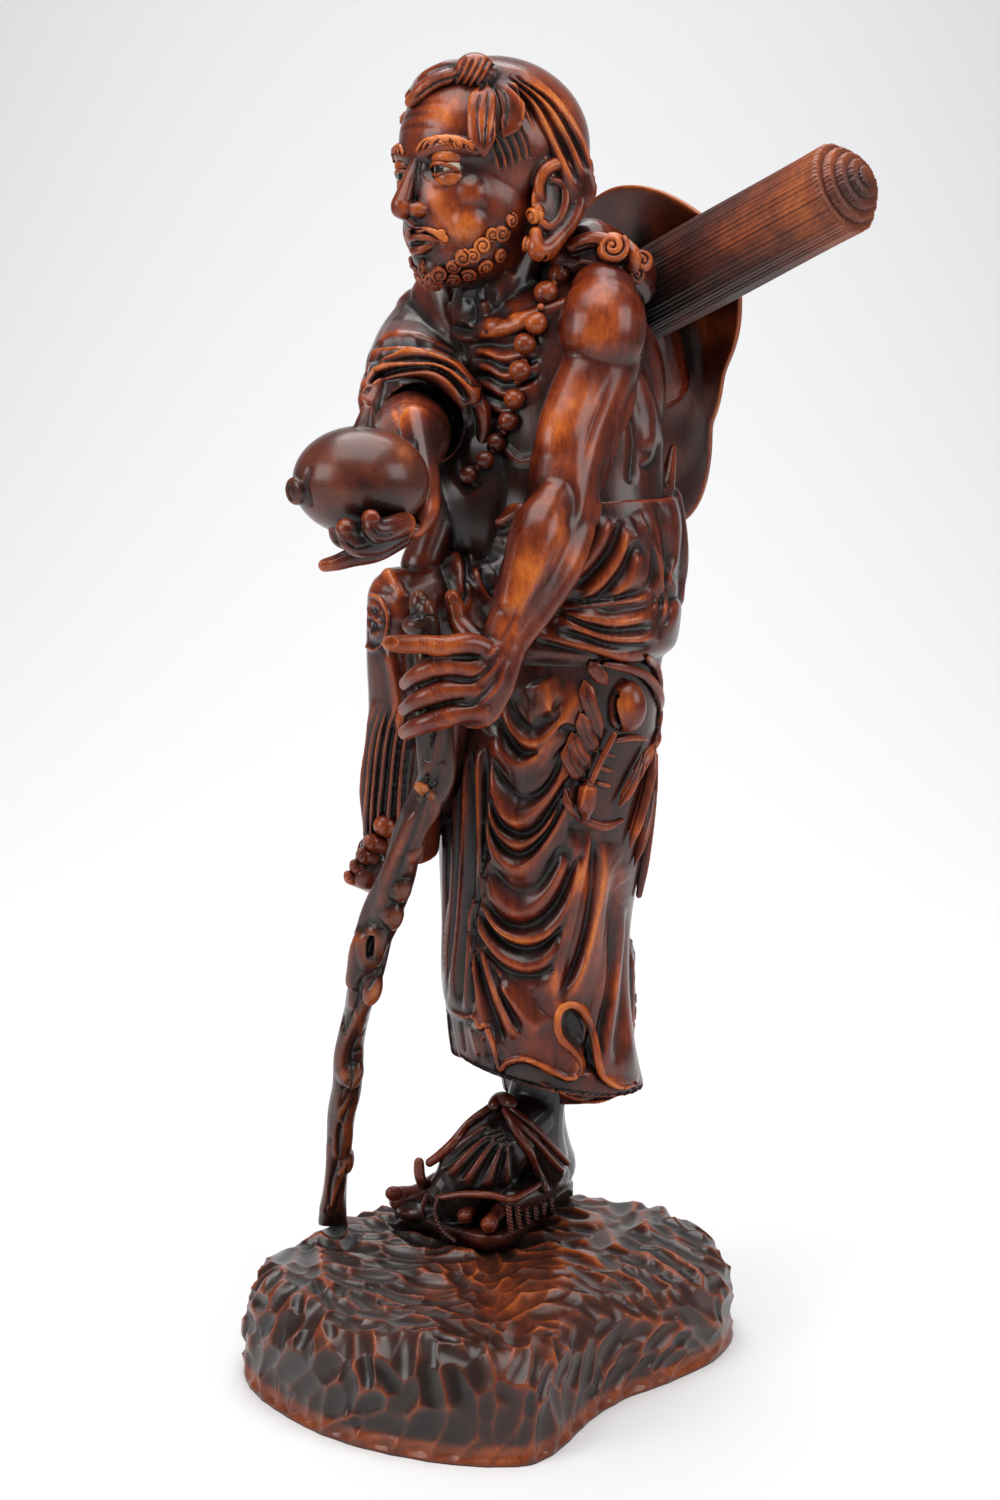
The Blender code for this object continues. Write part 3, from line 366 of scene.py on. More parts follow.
def carve(made, lines, taper=0.18):
    """Raises or cuts the front along drawn lines: each is (half width, height, points).

    A fold has a round crest; a cut, with a height below 0, comes to a sharp bottom.
    """
    points, normals = points_of(made), normals_of(made)
    spots, front = seen(points), facing_front(points, normals)
    lift = np.zeros(len(points))
    for half, height, drawn in lines:
        line = smooth_line(drawn, 6)
        near = drawn_near(spots, front, line, half)
        if len(near) == 0:
            continue
        away, along = near_line(spots[near], line)
        inside = np.clip(1 - away / half, 0, 1)
        shape = inside**2 * (3 - 2 * inside) if height > 0 else inside**CUT_SHARPNESS
        lift[near] += height * shape * end_fade(along, taper) * front[near]
    set_points(made, points + normals * lift[:, None])
    return made


def tree_of(made):
    """The surface, to find places on it."""
    points, faces = as_part(made)
    return BVHTree.FromPolygons(points.tolist(), faces)


def touch(tree, across, down, lift=0.0):
    """The place on the front surface at this spot of the front view, or beside the nearest edge where it misses."""
    way = unit(at(across, down, 0) - VIEW_FROM)
    spot, normal, _, _ = tree.ray_cast(Vector(VIEW_FROM), Vector(way))
    if spot is None:
        edge, _, _, _ = tree.find_nearest(Vector(at(across, down, 30)))
        return at(across, down, edge.y)
    return np.array(spot) + np.array(normal) * lift


def on_skin(tree, places, lift):
    """Each place moved to the nearest skin, and then this far out from it."""
    snapped = []
    for place in places:
        spot, normal, _, _ = tree.find_nearest(Vector(place))
        snapped.append(np.array(spot) + np.array(normal) * lift)
    return snapped


def rope(tree, drawn, half, lift=0.0, flat=1.0, sides=12, steps=6, ends=0.45):
    """A roll that lies on the surface along a drawn line, tapering at both ends."""
    line = np.array([touch(tree, u, v, lift) for u, v in smooth_line(drawn, steps)])
    for _ in range(3):
        line[1:-1] = (line[:-2] + 2 * line[1:-1] + line[2:]) / 4
    along = np.linspace(0, 1, len(line))
    fade = ends + (1 - ends) * np.clip(np.minimum(along, 1 - along) / ROPE_TAPER, 0, 1)
    size = wide(half) * fade
    return tube(line, size, size * flat, sides=sides)


def spiral(middle, out, radius, thick, turns=1.6, steps=24, sides=8, start=0.0):
    """A curl like a snail's shell, lying on the surface with its middle raised."""
    out = unit(np.asarray(out, float))
    side = unit(np.cross(out, [0.3, 0.2, 0.93]))
    up = np.cross(side, out)
    line, sizes = [], []
    for t in np.linspace(0, 1, steps):
        reach = radius * (1 - 0.88 * t)
        angle = start + turns * math.tau * t
        line.append(middle + (side * math.cos(angle) + up * math.sin(angle)) * reach + out * (thick * 0.8 * t))
        sizes.append(thick * (0.7 + 0.3 * math.sin(math.pi * min(1, t * 1.2))))
    return tube(line, sizes, sizes, towards=out, sides=sides)


def nailed(made, nails, lift):
    """Sets flat nails on the fingertips: each is (across, down, radii)."""
    tree = tree_of(made)
    return add_parts(made, [ball(touch(tree, u, v, lift), radii, None, 3) for u, v, radii in nails])


def curl(tree, place, size, start=0.0):
    """A curl of hair snapped to the nearest skin."""
    spot, normal, _, _ = tree.find_nearest(Vector(place))
    spot, normal = np.array(spot), np.array(normal)
    return [spiral(spot + normal * size * 0.12, normal, size * 0.78, size * 0.27, start=start),
            ball(spot + normal * size * 0.42, (size * 0.22,) * 3, None, 2),
            ball(spot - normal * size * 0.35, (size * 0.8,) * 3, None, 3)]


def drape(made, crests, valleys, reach=20.0, sharp=0.9, taper=0.2):
    """Carves cloth that runs in round folds between drawn crests and narrow valleys, each (height, points)."""
    points, normals = points_of(made), normals_of(made)
    spots, front = seen(points), facing_front(points, normals)
    fields = []
    for lines in (crests, valleys):
        nearest = np.full(len(points), 4.0 * reach)
        height = np.zeros(len(points))
        for tall, drawn in lines:
            line = smooth_line(drawn, 5)
            near = drawn_near(spots, front, line, 2 * reach)
            if len(near) == 0:
                continue
            away, along = near_line(spots[near], line)
            closer = away < nearest[near]
            nearest[near[closer]] = away[closer]
            height[near[closer]] = tall * end_fade(along, taper)[closer]
        fields.append((nearest, height))
    (to_crest, tall), (to_valley, deep) = fields
    share = to_valley / (to_crest + to_valley + 1e-6)
    fade = np.clip(1 - np.minimum(to_crest, to_valley) / reach, 0, 1)
    round_share = np.sin(share * math.pi / 2) ** sharp
    valley = VALLEY_DEPTH * deep * (1 - round_share) ** VALLEY_SHARPNESS
    lift = fade * (2 - fade) * front * (tall * round_share - valley)
    set_points(made, points + normals * lift[:, None])
    return applied(made, "SMOOTH", factor=0.5, iterations=2)


def recess(made, outline, depth, soft=3.0):
    """Sets the front straight back inside a closed outline of the front view, with a steep step at its edge."""
    points, normals = points_of(made), normals_of(made)
    spots, front = seen(points), facing_front(points, normals)
    ring = smooth_line(tuple(outline) + (outline[0],), 3)
    inside = np.zeros(len(points), bool)
    for (x0, y0), (x1, y1) in zip(ring[:-1], ring[1:]):
        level = (y0 > spots[:, 1]) != (y1 > spots[:, 1])
        inside ^= level & (spots[:, 0] < (x1 - x0) * (spots[:, 1] - y0) / (y1 - y0 + 1e-9) + x0)
    which = np.flatnonzero(inside & (front > 0))
    if len(which):
        away, _ = near_line(spots[which], ring)
        share = np.clip(away / soft, 0, 1)
        points[which, 1] += depth * share * front[which]
        set_points(made, points)
    return made


# Wear and painted shade: how raised, how hollow and how rubbed each point is, and where patches of painted shade darken
# it


def weigh_surface(made, patches, rubbed=0.0):
    """Stores three numbers on each point, which the wood reads: raised, hollow, and a tone that rubbing lightens and
    darker patches lower, some of them painted shade.
    """
    points, normals = points_of(made), normals_of(made)
    count = len(points)
    ends = np.empty(len(made.data.edges) * 2, np.int32)
    made.data.edges.foreach_get("vertices", ends)
    a, b = ends.reshape(-1, 2).T
    neighbours = np.maximum(np.bincount(a, minlength=count) + np.bincount(b, minlength=count), 1)

    def averaged(values):
        rows = [np.bincount(a, values[b, k], count) + np.bincount(b, values[a, k], count) for k in range(3)]
        return np.stack(rows, 1) / neighbours[:, None]

    edge = np.median(np.linalg.norm(points[a] - points[b], axis=1))
    pace = np.clip((USUAL_EDGE / edge) ** 2, *PACE_RANGE)
    soft, bump = points, np.zeros(count)
    done = 0
    for passes, weight in RELIEF_LEVELS:
        while done < passes * pace:
            soft = averaged(soft)
            done += 1
        bump += ((points - soft) * normals).sum(1) * weight
    worn = np.full(count, rubbed)
    spots, front = seen(points), facing_front(points, normals)
    # Patches above 0 are rubbing; some below 0 are painted shade
    for across, down, reach, amount in patches:
        near = np.exp(-(((spots - (across, down)) / reach) ** 2).sum(1))
        worn += amount * near * (0.2 + 0.8 * front)
    bump = np.tanh(bump * RELIEF_GAIN)
    store(made, "raised", np.clip(bump, 0, 1))
    store(made, "hollow", np.clip(-bump, 0, 1))
    store(made, "worn", np.clip(worn, -1, 1))


# Wood

# Patterns in the wood, each (scale, detail, roughness), and how much each darkens or lightens it
MOTTLE = (62.0, 6.0, 0.62)
PATCHY = (19.0, 3.0, 0.5)
PORES = (1500.0, 2.0, 0.5)
MOTTLE_WEIGHT = 0.60
STREAK_WEIGHT = 0.30
PATCHY_WEIGHT = 0.22

# How much wear lightens the wood and darker patches, partly painted shade, darken it; how much a hollow darkens it; and
# how much painted shade darkens deep corners and the gaps between pieces, within this reach
WEAR_AND_SHADE_WEIGHT = 0.62
HOLLOW_WEIGHT = -0.26
CORNER_SHADE_WEIGHT = 0.35
CORNER_SHADE_REACH = 0.012

# Where the six colours stand from the darkest to the brightest tone
TONE_STOPS = (0.0, 0.18, 0.38, 0.60, 0.80, 1.0)


def new_material(name):
    """A new material, its nodes and its shader."""
    made = bpy.data.materials.new(name)
    made.use_nodes = True
    return made, made.node_tree, made.node_tree.nodes["Principled BSDF"]


def set_inputs(node, **values):
    """Sets a node's sockets, named in small letters with a low line for each space."""
    for socket in node.inputs:
        name = socket.name.lower().replace(" ", "_")
        if name in values:
            socket.default_value = values[name]


def math_node(tree, operation, first, second=None, third=None, clamp=False):
    node = tree.nodes.new("ShaderNodeMath")
    node.operation = operation
    node.use_clamp = clamp
    for socket, value in zip(node.inputs, (first, second, third)):
        if value is None:
            continue
        if isinstance(value, (int, float)):
            socket.default_value = value
        else:
            tree.links.new(value, socket)
    return node.outputs[0]


def noise(tree, coords, scale, detail=4.0, rough=0.55, stretch=None):
    """Noise on the piece's own coordinates, drawn out along the grain where a stretch is given."""
    if stretch:
        mapping = tree.nodes.new("ShaderNodeMapping")
        set_inputs(mapping, scale=stretch)
        tree.links.new(coords, mapping.inputs["Vector"])
        coords = mapping.outputs["Vector"]
    node = tree.nodes.new("ShaderNodeTexNoise")
    set_inputs(node, scale=scale, detail=detail, roughness=rough)
    tree.links.new(coords, node.inputs["Vector"])
    return node.outputs["Fac"]


def attribute(tree, name):
    node = tree.nodes.new("ShaderNodeAttribute")
    node.attribute_name = name
    return node.outputs["Fac"]


def ramp(tree, value, stops):
    node = tree.nodes.new("ShaderNodeValToRGB")
    line = node.color_ramp
    line.interpolation = "B_SPLINE" if len(stops) > 3 else "LINEAR"
    while len(line.elements) < len(stops):
        line.elements.new(0.5)
    for element, (place, colour) in zip(line.elements, stops):
        element.position = place
        element.color = (*colour, 1.0)
    tree.links.new(value, node.inputs["Fac"])
    return node.outputs["Color"]


def carved_wood(name, colours, gloss, grain, edge=0.46, base=0.30, dull=0.0, grit=0.25, fleck=420.0):
    """Stained and rubbed hardwood: dark in the hollows, brighter where it is raised or rubbed, and darker with painted
    shade in deep corners and in some patches.
    """
    made = bpy.data.materials.get(name)
    if made:
        return made
    made, tree, shader = new_material(name)
    coords = tree.nodes.new("ShaderNodeTexCoord").outputs["Object"]

    def add(source, weight, onto, clamp=False):
        return math_node(tree, "MULTIPLY_ADD", source, weight, onto, clamp)

    def around(source, middle=0.5):
        return math_node(tree, "SUBTRACT", source, middle)

    streaks = noise(tree, coords, fleck, 5.0, 0.62, grain)
    mottle = noise(tree, coords, *MOTTLE, (1.0, 1.0, 0.6))
    patchy = noise(tree, coords, *PATCHY)
    pores = noise(tree, coords, *PORES, grain)
    raised, hollow, worn = [attribute(tree, kind) for kind in ("raised", "hollow", "worn")]
    # Ambient occlusion darkens the colour in deep corners and between pieces: painted shade
    shade = tree.nodes.new("ShaderNodeAmbientOcclusion")
    shade.samples = 4
    set_inputs(shade, distance=CORNER_SHADE_REACH)
    open_air = math_node(tree, "POWER", shade.outputs["AO"], 1.4)
    tone = add(math_node(tree, "POWER", raised, 1.5), edge, base)
    # Rubbing lightens the colour here, and patches of painted shade darken it
    tone = add(math_node(tree, "MULTIPLY", worn, add(mottle, 1.3, 0.3)), WEAR_AND_SHADE_WEIGHT, tone)
    for source, weight in ((mottle, MOTTLE_WEIGHT), (streaks, STREAK_WEIGHT), (patchy, PATCHY_WEIGHT)):
        tone = add(around(source), weight, tone)
    tone = add(hollow, HOLLOW_WEIGHT, tone)
    # Painted shade in deep corners and the gaps between pieces
    tone = add(around(open_air, 1.0), CORNER_SHADE_WEIGHT, tone, True)
    colour = ramp(tree, tone, list(zip(TONE_STOPS, colours)))
    dark = tree.nodes.new("ShaderNodeMix")
    dark.data_type = "RGBA"
    dark.blend_type = "MULTIPLY"
    dark.inputs["Factor"].default_value = 0.5
    speck = ramp(tree, pores, ((0.32, (0.5, 0.45, 0.42)), (0.5, (1.0, 1.0, 1.0))))
    rough = add(hollow, 0.20, add(mottle, 0.20, gloss - 0.10))
    rough = math_node(tree, "ADD", rough, dull, clamp=True)
    bump = tree.nodes.new("ShaderNodeBump")
    set_inputs(bump, strength=grit, distance=0.0004)
    height = add(streaks, 0.5, math_node(tree, "MULTIPLY", pores, 0.3))
    for source, target in ((colour, dark.inputs["A"]), (speck, dark.inputs["B"]),
                           (dark.outputs["Result"], shader.inputs["Base Color"]), (rough, shader.inputs["Roughness"]),
                           (height, bump.inputs["Height"]), (bump.outputs["Normal"], shader.inputs["Normal"])):
        tree.links.new(source, target)
    set_inputs(shader, coat_weight=0.12, coat_roughness=0.14, specular_ior_level=0.4)
    return made


# Colours of each wood, from the deepest hollow to the most rubbed edge
STAIN = (0.0035, 0.0022, 0.002)
WOOD_COLOURS = {
    "figure": (STAIN, (0.014, 0.005, 0.0035), (0.072, 0.0092, 0.0045), (0.190, 0.0275, 0.0065), (0.46, 0.088, 0.011),
               (0.70, 0.20, 0.030)),
    "plinth": (STAIN, (0.012, 0.0065, 0.0055), (0.032, 0.012, 0.0085), (0.105, 0.022, 0.009), (0.26, 0.050, 0.011),
               (0.40, 0.10, 0.02)),
    "staff": (STAIN, (0.013, 0.006, 0.0048), (0.036, 0.0095, 0.0058), (0.11, 0.022, 0.008), (0.28, 0.06, 0.012),
              (0.48, 0.14, 0.026)),
    "gourd": (STAIN, (0.016, 0.0055, 0.004), (0.06, 0.012, 0.007), (0.13, 0.028, 0.012), (0.27, 0.07, 0.018),
              (0.42, 0.13, 0.035)),
    "mat": (STAIN, (0.017, 0.006, 0.0045), (0.056, 0.011, 0.006), (0.15, 0.027, 0.008), (0.36, 0.080, 0.014),
            (0.50, 0.15, 0.03)),
    "hat": (STAIN, (0.018, 0.005, 0.0035), (0.058, 0.009, 0.005), (0.17, 0.026, 0.007), (0.38, 0.078, 0.012),
            (0.52, 0.15, 0.025)),
}


# How each wood differs from the usual finish of carved_wood
FINISHES = {
    "figure": {"gloss": 0.27, "grain": (1.0, 1.0, 0.2), "base": 0.28},
    "plinth": {"gloss": 0.30, "grain": (1.0, 0.4, 1.0), "edge": 0.52, "base": 0.31, "fleck": 260.0},
    "staff": {"gloss": 0.29, "grain": (1.0, 1.0, 0.2), "edge": 0.55, "base": 0.31},
    "gourd": {"gloss": 0.30, "grain": (0.4, 1.0, 1.0), "edge": 0.3, "base": 0.36},
    "mat": {"gloss": 0.38, "grain": (0.35, 1.0, 0.8), "edge": 0.4, "base": 0.31, "dull": 0.05, "grit": 0.4},
    "hat": {"gloss": 0.34, "grain": (1.0, 1.0, 0.35), "edge": 0.4, "base": 0.43, "grit": 0.3},
}
SHADES = (("hollow", "Hollow", "Stain left in the deepest hollows"), ("dark", "Dark", "Shaded carving"),
          ("ground", "Ground", "Flat, open surface"), ("warm", "Warm", "Surface that is a little raised"),
          ("rubbed", "Rubbed", "Edges and rounds that hands have rubbed"), ("bright", "Bright", "The most worn places"))


def wood(part):
    """The polished hardwood of one part, with the colours and the gloss that the sidebar gives it."""
    chosen = getattr(bpy.context.scene, "okimono_" + part)
    finish = dict(FINISHES[part])
    finish["gloss"] *= chosen.dullness
    return carved_wood(part + "_hardwood", [tuple(getattr(chosen, shade)) for shade, _, _ in SHADES], **finish)


# Finished pieces


def hand_over(made, material, node):
    """Brings a finished object to metres on the plinth and hands it to the frame in place of a solid."""
    set_points(made, points_of(made) * SHARE + (0, 0, LIFT))
    made.data.materials.clear()
    made.data.materials.append(material)
    made.data.shade_smooth()
    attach(made, "root")
    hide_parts(node)


# The wear and the painted shade are weighed on a mesh as fine as this, before each piece is thinned to its own number
# of triangles
WEIGHED_TRIANGLES = 190000
TRIANGLES = {
    "rockwork": 125000, "twisted_staff": 50000, "head": 110000, "headband": 45000, "torso": 75000,
    "left_arm": 60000, "right_arm": 45000, "gourd": 14000, "sleeve": 40000, "upper_robe": 95000,
    "skirt": 110000, "waist_items": 50000, "mat": 36000, "hat": 38000, "strap": 30000, "foot": 65000,
}

# Where each piece is lighter with rubbing or darker in patches, some of them painted shade such as the shoulder's
# shadow on the mat: (across, down, reach, amount) in the front view
WEAR_AND_SHADE_PATCHES = {
    "rockwork": ((495, 1300, 44, 0.42), (430, 1290, 26, 0.36), (590, 1250, 38, 0.42), (640, 1320, 44, 0.25),
        (540, 1290, 38, 0.3), (380, 1330, 26, 0.15), (330, 1270, 30, 0.1), (690, 1290, 34, 0.2), (600, 1200, 50, 0.3),
        (470, 1240, 44, 0.28), (540, 1340, 50, 0.2)),
    "twisted_staff": ((388, 905, 12, 0.25), (374, 991, 12, 0.3), (347, 1072, 12, 0.3), (344, 1112, 10, 0.25),
        (346, 1161, 10, 0.3), (432, 790, 12, 0.15), (402, 850, 12, 0.2), (420, 625, 20, -0.2), (419, 787, 7, 0.6),
        (356, 940, 8, 0.3), (404, 888, 8, 0.3), (396, 915, 7, 0.3)),
    "head": ((443, 174, 9, -0.4), (470, 255, 32, -0.25), (447, 120, 30, 0.75), (455, 215, 30, 0.6),
        (428, 195, 16, 0.6), (470, 245, 30, 0.4), (512, 185, 24, 0.5), (548, 240, 20, 0.3), (414, 150, 12, 0.3),
        (530, 215, 26, 0.35), (540, 85, 34, 0.25), (420, 270, 30, -0.1), (500, 260, 26, 0.15), (484, 125, 14, 0.5),
        (545, 130, 24, 0.45), (475, 76, 22, 0.2), (565, 100, 30, 0.25), (566, 170, 20, 0.3)),
    "torso": ((505, 345, 30, 0.3), (505, 400, 24, 0.15), (515, 312, 18, 0.3), (480, 310, 20, -0.25),
        (655, 400, 14, 0.22), (470, 520, 30, -0.4), (450, 440, 34, -0.4), (480, 470, 30, -0.3), (400, 315, 14, 0.05),
        (576, 266, 16, -0.15), (558, 284, 14, 0.05), (545, 300, 12, -0.2), (536, 322, 12, 0.1), (527, 348, 12, -0.2),
        (521, 374, 12, -0.25), (514, 402, 14, -0.2), (503, 436, 18, -0.25)),
    "left_arm": ((598, 300, 34, 0.45), (596, 344, 26, 0.5), (574, 388, 32, 0.5), (562, 432, 30, 0.5),
        (606, 400, 24, 0.4), (597, 446, 24, 0.35), (566, 480, 26, 0.35), (588, 512, 12, 0.3), (548, 530, 30, 0.42),
        (532, 575, 28, 0.45), (516, 616, 22, 0.4), (566, 560, 22, 0.35), (622, 318, 16, 0.15), (500, 650, 22, 0.25),
        (470, 690, 34, 0.15), (440, 646, 34, 0.28)),
    # The dark patch at (440, 440) is painted shade on the forearm's far side
    "right_arm": ((404, 408, 20, 0.5), (398, 425, 18, 0.2), (440, 440, 26, -0.5), (434, 505, 9, 0.25),
        (416, 532, 9, 0.35), (396, 512, 6, 0.4), (372, 519, 6, 0.1), (325, 565, 6, 0.35), (355, 546, 24, -0.5),
        (385, 536, 18, -0.45)),
    "gourd": ((408, 450, 14, 0.65), (385, 440, 14, 0.35), (380, 476, 18, 0.3), (345, 500, 16, 0.25),
        (330, 470, 20, 0.15), (365, 485, 8, -0.4), (350, 520, 22, -0.25), (294, 491, 10, -0.4), (370, 420, 10, -0.4)),
    "sleeve": ((400, 352, 26, 0.25), (430, 366, 20, 0.25), (375, 390, 20, 0.15), (460, 380, 16, 0.1),
        (478, 440, 24, -0.35), (430, 420, 40, -0.4)),
    "upper_robe": ((380, 590, 22, 0.35), (392, 560, 18, 0.25), (396, 700, 20, 0.12), (600, 570, 26, 0.32),
        (620, 540, 16, 0.25), (610, 625, 34, 0.22), (645, 600, 14, 0.3), (650, 560, 16, 0.2), (664, 530, 14, 0.25),
        (384, 826, 12, -0.1), (460, 590, 22, -0.2), (440, 640, 30, -0.4), (500, 560, 26, -0.2), (402, 770, 26, -0.25),
        (362, 862, 24, -0.45)),
    "skirt": ((556, 700, 20, 0.55), (536, 752, 20, 0.5), (515, 815, 18, 0.4), (600, 880, 30, 0.55),
        (590, 935, 28, 0.5), (604, 980, 24, 0.4), (573, 880, 16, 0.35), (520, 866, 16, 0.35), (520, 938, 24, 0.35),
        (506, 1000, 28, 0.35), (556, 984, 20, 0.35), (625, 1030, 26, 0.35), (560, 1008, 12, 0.4),
        (455, 860, 24, -0.3), (468, 990, 20, -0.15), (610, 1096, 24, 0.3), (560, 1092, 24, 0.15),
        (470, 1040, 20, 0.2), (620, 860, 16, -0.1), (518, 690, 16, -0.2), (530, 1045, 24, 0.25), (500, 900, 18, 0.15),
        (540, 900, 16, 0.2)),
    "waist_items": ((626, 706, 16, 0.45), (584, 796, 12, 0.55), (592, 720, 10, 0.4), (578, 750, 10, 0.4),
        (622, 790, 12, 0.4), (634, 830, 12, 0.3), (652, 750, 10, 0.35), (600, 755, 12, -0.1), (600, 810, 14, -0.2)),
    # The dark patch at (645, 300) is the shoulder's painted shadow on the mat
    "mat": ((700, 262, 22, 0.4), (735, 236, 20, 0.4), (790, 205, 22, 0.35), (660, 285, 18, 0.1), (856, 186, 24, -0.6),
        (760, 250, 14, 0.2), (680, 300, 14, -0.2), (645, 300, 24, -0.6)),
    "hat": ((640, 215, 28, 0.4), (700, 240, 22, 0.45), (712, 330, 24, 0.42), (690, 400, 28, 0.42),
        (668, 470, 24, 0.35)),
    "strap": ((614, 248, 12, 0.35), (633, 256, 8, 0.2), (590, 262, 16, 0.1), (642, 264, 8, 0.2)),
    "foot": ((470, 1160, 30, 0.12), (402, 1198, 12, 0.0), (464, 1217, 8, 0.2), (488, 1226, 8, 0.2),
        (525, 1210, 22, 0.12), (540, 1100, 30, -0.35), (470, 1196, 30, 0.1), (545, 1170, 30, -0.1),
        (447, 1208, 10, -0.3), (420, 1192, 16, -0.2)),
}
WEAR_AND_SHADE_PATCHES["headband"] = WEAR_AND_SHADE_PATCHES["head"]


def thinned(made, triangles):
    """Thins a mesh to a number of triangles, most where it is flat."""
    faces = sum(len(f.vertices) - 2 for f in made.data.polygons)
    if faces > triangles:
        applied(made, "TRIANGULATE")
        applied(made, "DECIMATE", ratio=triangles / faces)


def place_piece(made, part="figure", node="figure", rubbed=0.0):
    """Weighs a carved object's wear, hollows and painted shade on a fine mesh, thins it and hands it over in its wood.
    """
    made.data.update()
    thinned(made, WEIGHED_TRIANGLES)
    weigh_surface(made, WEAR_AND_SHADE_PATCHES[made.name], rubbed)
    thinned(made, TRIANGLES[made.name])
    hand_over(made, wood(part), node)


# The head

HEAD_MIDDLE = at(484, 177, 14.0)
HEAD_TURN = math.radians(52)
HEAD_NOD = math.radians(5)
HEAD_FORWARD = np.array([-math.sin(HEAD_TURN) * math.cos(HEAD_NOD), -math.cos(HEAD_TURN) * math.cos(HEAD_NOD),
                         -math.sin(HEAD_NOD)])
HEAD_RIGHT = np.array([-math.cos(HEAD_TURN), math.sin(HEAD_TURN), 0.0])
HEAD_AXES = np.array([HEAD_RIGHT, HEAD_FORWARD, np.cross(HEAD_RIGHT, HEAD_FORWARD)])


HEAD_SIZE = 1.09

# How far each eye is from the middle of the face, and how wide its pupil is, in degrees from where it looks
EYE_ACROSS = 12.8
PUPIL_TURN = 21.0


def in_head(points):
    """Places given as (to its right, forward, up) from the head's middle."""
    return HEAD_MIDDLE + np.atleast_2d(np.asarray(points, float)) @ HEAD_AXES * HEAD_SIZE


def from_head(points):
    """The head's own (right, forward, up) of places in the scene."""
    return (points - HEAD_MIDDLE) @ HEAD_AXES.T / HEAD_SIZE


def head_ball(middle, radii, fine=4):
    return ball(in_head(middle)[0], np.asarray(radii, float) * HEAD_SIZE, HEAD_AXES, fine)


def head_tube(stations, steps=5, sides=14):
    """A limb through (right, forward, up, radius) in the head's frame."""
    line = smooth_line(stations, steps)
    sizes = line[:, 3] * HEAD_SIZE
    return tube(in_head(line[:, :3]), sizes, sizes, towards=HEAD_AXES[1], sides=sides)


def mirrored(places):
    """The same line, from one side of the face on through to the other."""
    return [(-right, *rest) for right, *rest in places[:0:-1]] + list(places)


def press_head(made, dents):
    """Presses the head in, or raises it, around places in its own frame: (place, radius, forward, up)."""
    local = from_head(points_of(made))
    for place, reach, forward, up in dents:
        gap = (local - place) / np.asarray(reach, float)
        near = np.clip(1 - (gap**2).sum(1), 0, 1) ** 2
        local[:, 1] += forward * near
        local[:, 2] += up * near
    set_points(made, in_head(local))


def carve_head(made, lines):
    """Cuts or raises lines given in the head's own frame: (half width, height, places)."""
    points, normals = points_of(made), normals_of(made)
    local = from_head(points)
    lift = np.zeros(len(points))
    for half, height, places in lines:
        line = smooth_line(places, 6)
        near = np.flatnonzero(((local > line.min(0) - half - 3) & (local < line.max(0) + half + 3)).all(1))
        if len(near) == 0:
            continue
        away, along = near_line(local[near], line)
        inside = np.clip(1 - away / half, 0, 1)
        ends = np.clip(np.minimum(along, 1 - along) / 0.35, 0, 1)
        lift[near] += height * inside**2 * (3 - 2 * inside) * ends
    set_points(made, points + normals * lift[:, None])


def lid_parts():
    """Both eyelids, half lowered over each eye, with a thin edge to each."""
    upper = ((6.4, 31.2, 1.2, 0.7), (9.5, 33.4, 2.9, 0.95), (13.0, 34.0, 3.4, 1.0), (16.5, 32.5, 2.6, 0.95),
             (19.8, 28.8, 0.4, 0.7))
    lower = ((6.4, 31.2, 0.9, 0.6), (9.6, 33.1, -0.4, 0.75), (13.0, 33.7, -0.9, 0.8), (16.5, 32.0, -0.5, 0.75),
             (19.8, 28.8, 0.2, 0.6))
    parts = []
    for side in (-1, 1):
        parts.append(head_ball((side * EYE_ACROSS, 27.0, 5.7), (7.3, 7.3, 4.6)))
        parts.append(head_ball((side * EYE_ACROSS, 27.0, -2.5), (7.1, 7.0, 4.6)))
        for line in (upper, lower):
            parts.append(head_tube([(side * r, f, u, s) for r, f, u, s in line]))
    return parts


def face_base():
    """Skull, cheeks and jaw, a third of the face between the brow, nose and mouth lines."""
    parts = [
        head_ball((0, -7, 12), (34, 43, 36)),
        head_ball((0, 7, -10), (27, 31, 36)),
        head_ball((0, 14, -29), (22, 21, 16)),
        head_ball((0, -20, -8), (27, 24, 28)),
        head_ball((0, 28.5, -36.5), (8.5, 6.5, 7.5)),
        head_ball((0, 28, -25), (12, 8.5, 8)),
        head_tube(mirrored(((0, 33, 8.5, 3.0), (7, 33, 9.4, 3.4), (17, 29, 10, 3.4), (25, 20, 7, 3.0)))),
    ]
    for side in (-1, 1):
        parts += [head_ball((side * 16.5, 20.5, -9), (9, 9, 9)), head_ball((side * 12, 22.5, -20), (12, 9, 12))]
    return parts


def face_features():
    """Nose, lips and ears on the smooth face."""
    parts = [
        head_tube([(0, 31.5, 8, 3.2), (0, 36, 2, 3.0), (0, 40, -5.5, 3.6), (0, 43, -11.5, 4.5)], sides=20),
        head_ball((0, 42.6, -12.6), (5.2, 4.6, 4.3)),
        head_tube([(0, 40, -15.5, 2.6), (0, 36, -19, 2.6)]),
        head_tube(mirrored(((0, 37.2, -24.7, 1.7), (1.5, 37.4, -24.1, 1.9), (4.5, 36.2, -24.6, 1.8),
                            (9.5, 32.8, -26.2, 1.0))), sides=16),
        head_tube(mirrored(((0, 36.6, -29.2, 2.3), (3.5, 36.0, -28.8, 2.1), (8.5, 32.8, -27, 1.0))), sides=16),
    ]
    for side in (-1, 1):
        parts.append(head_ball((side * 4.7, 36.8, -13.6), (4.0, 6.2, 3.5)))
        parts += ear_parts(side)
    return parts


EAR_LEAN = math.radians(16)


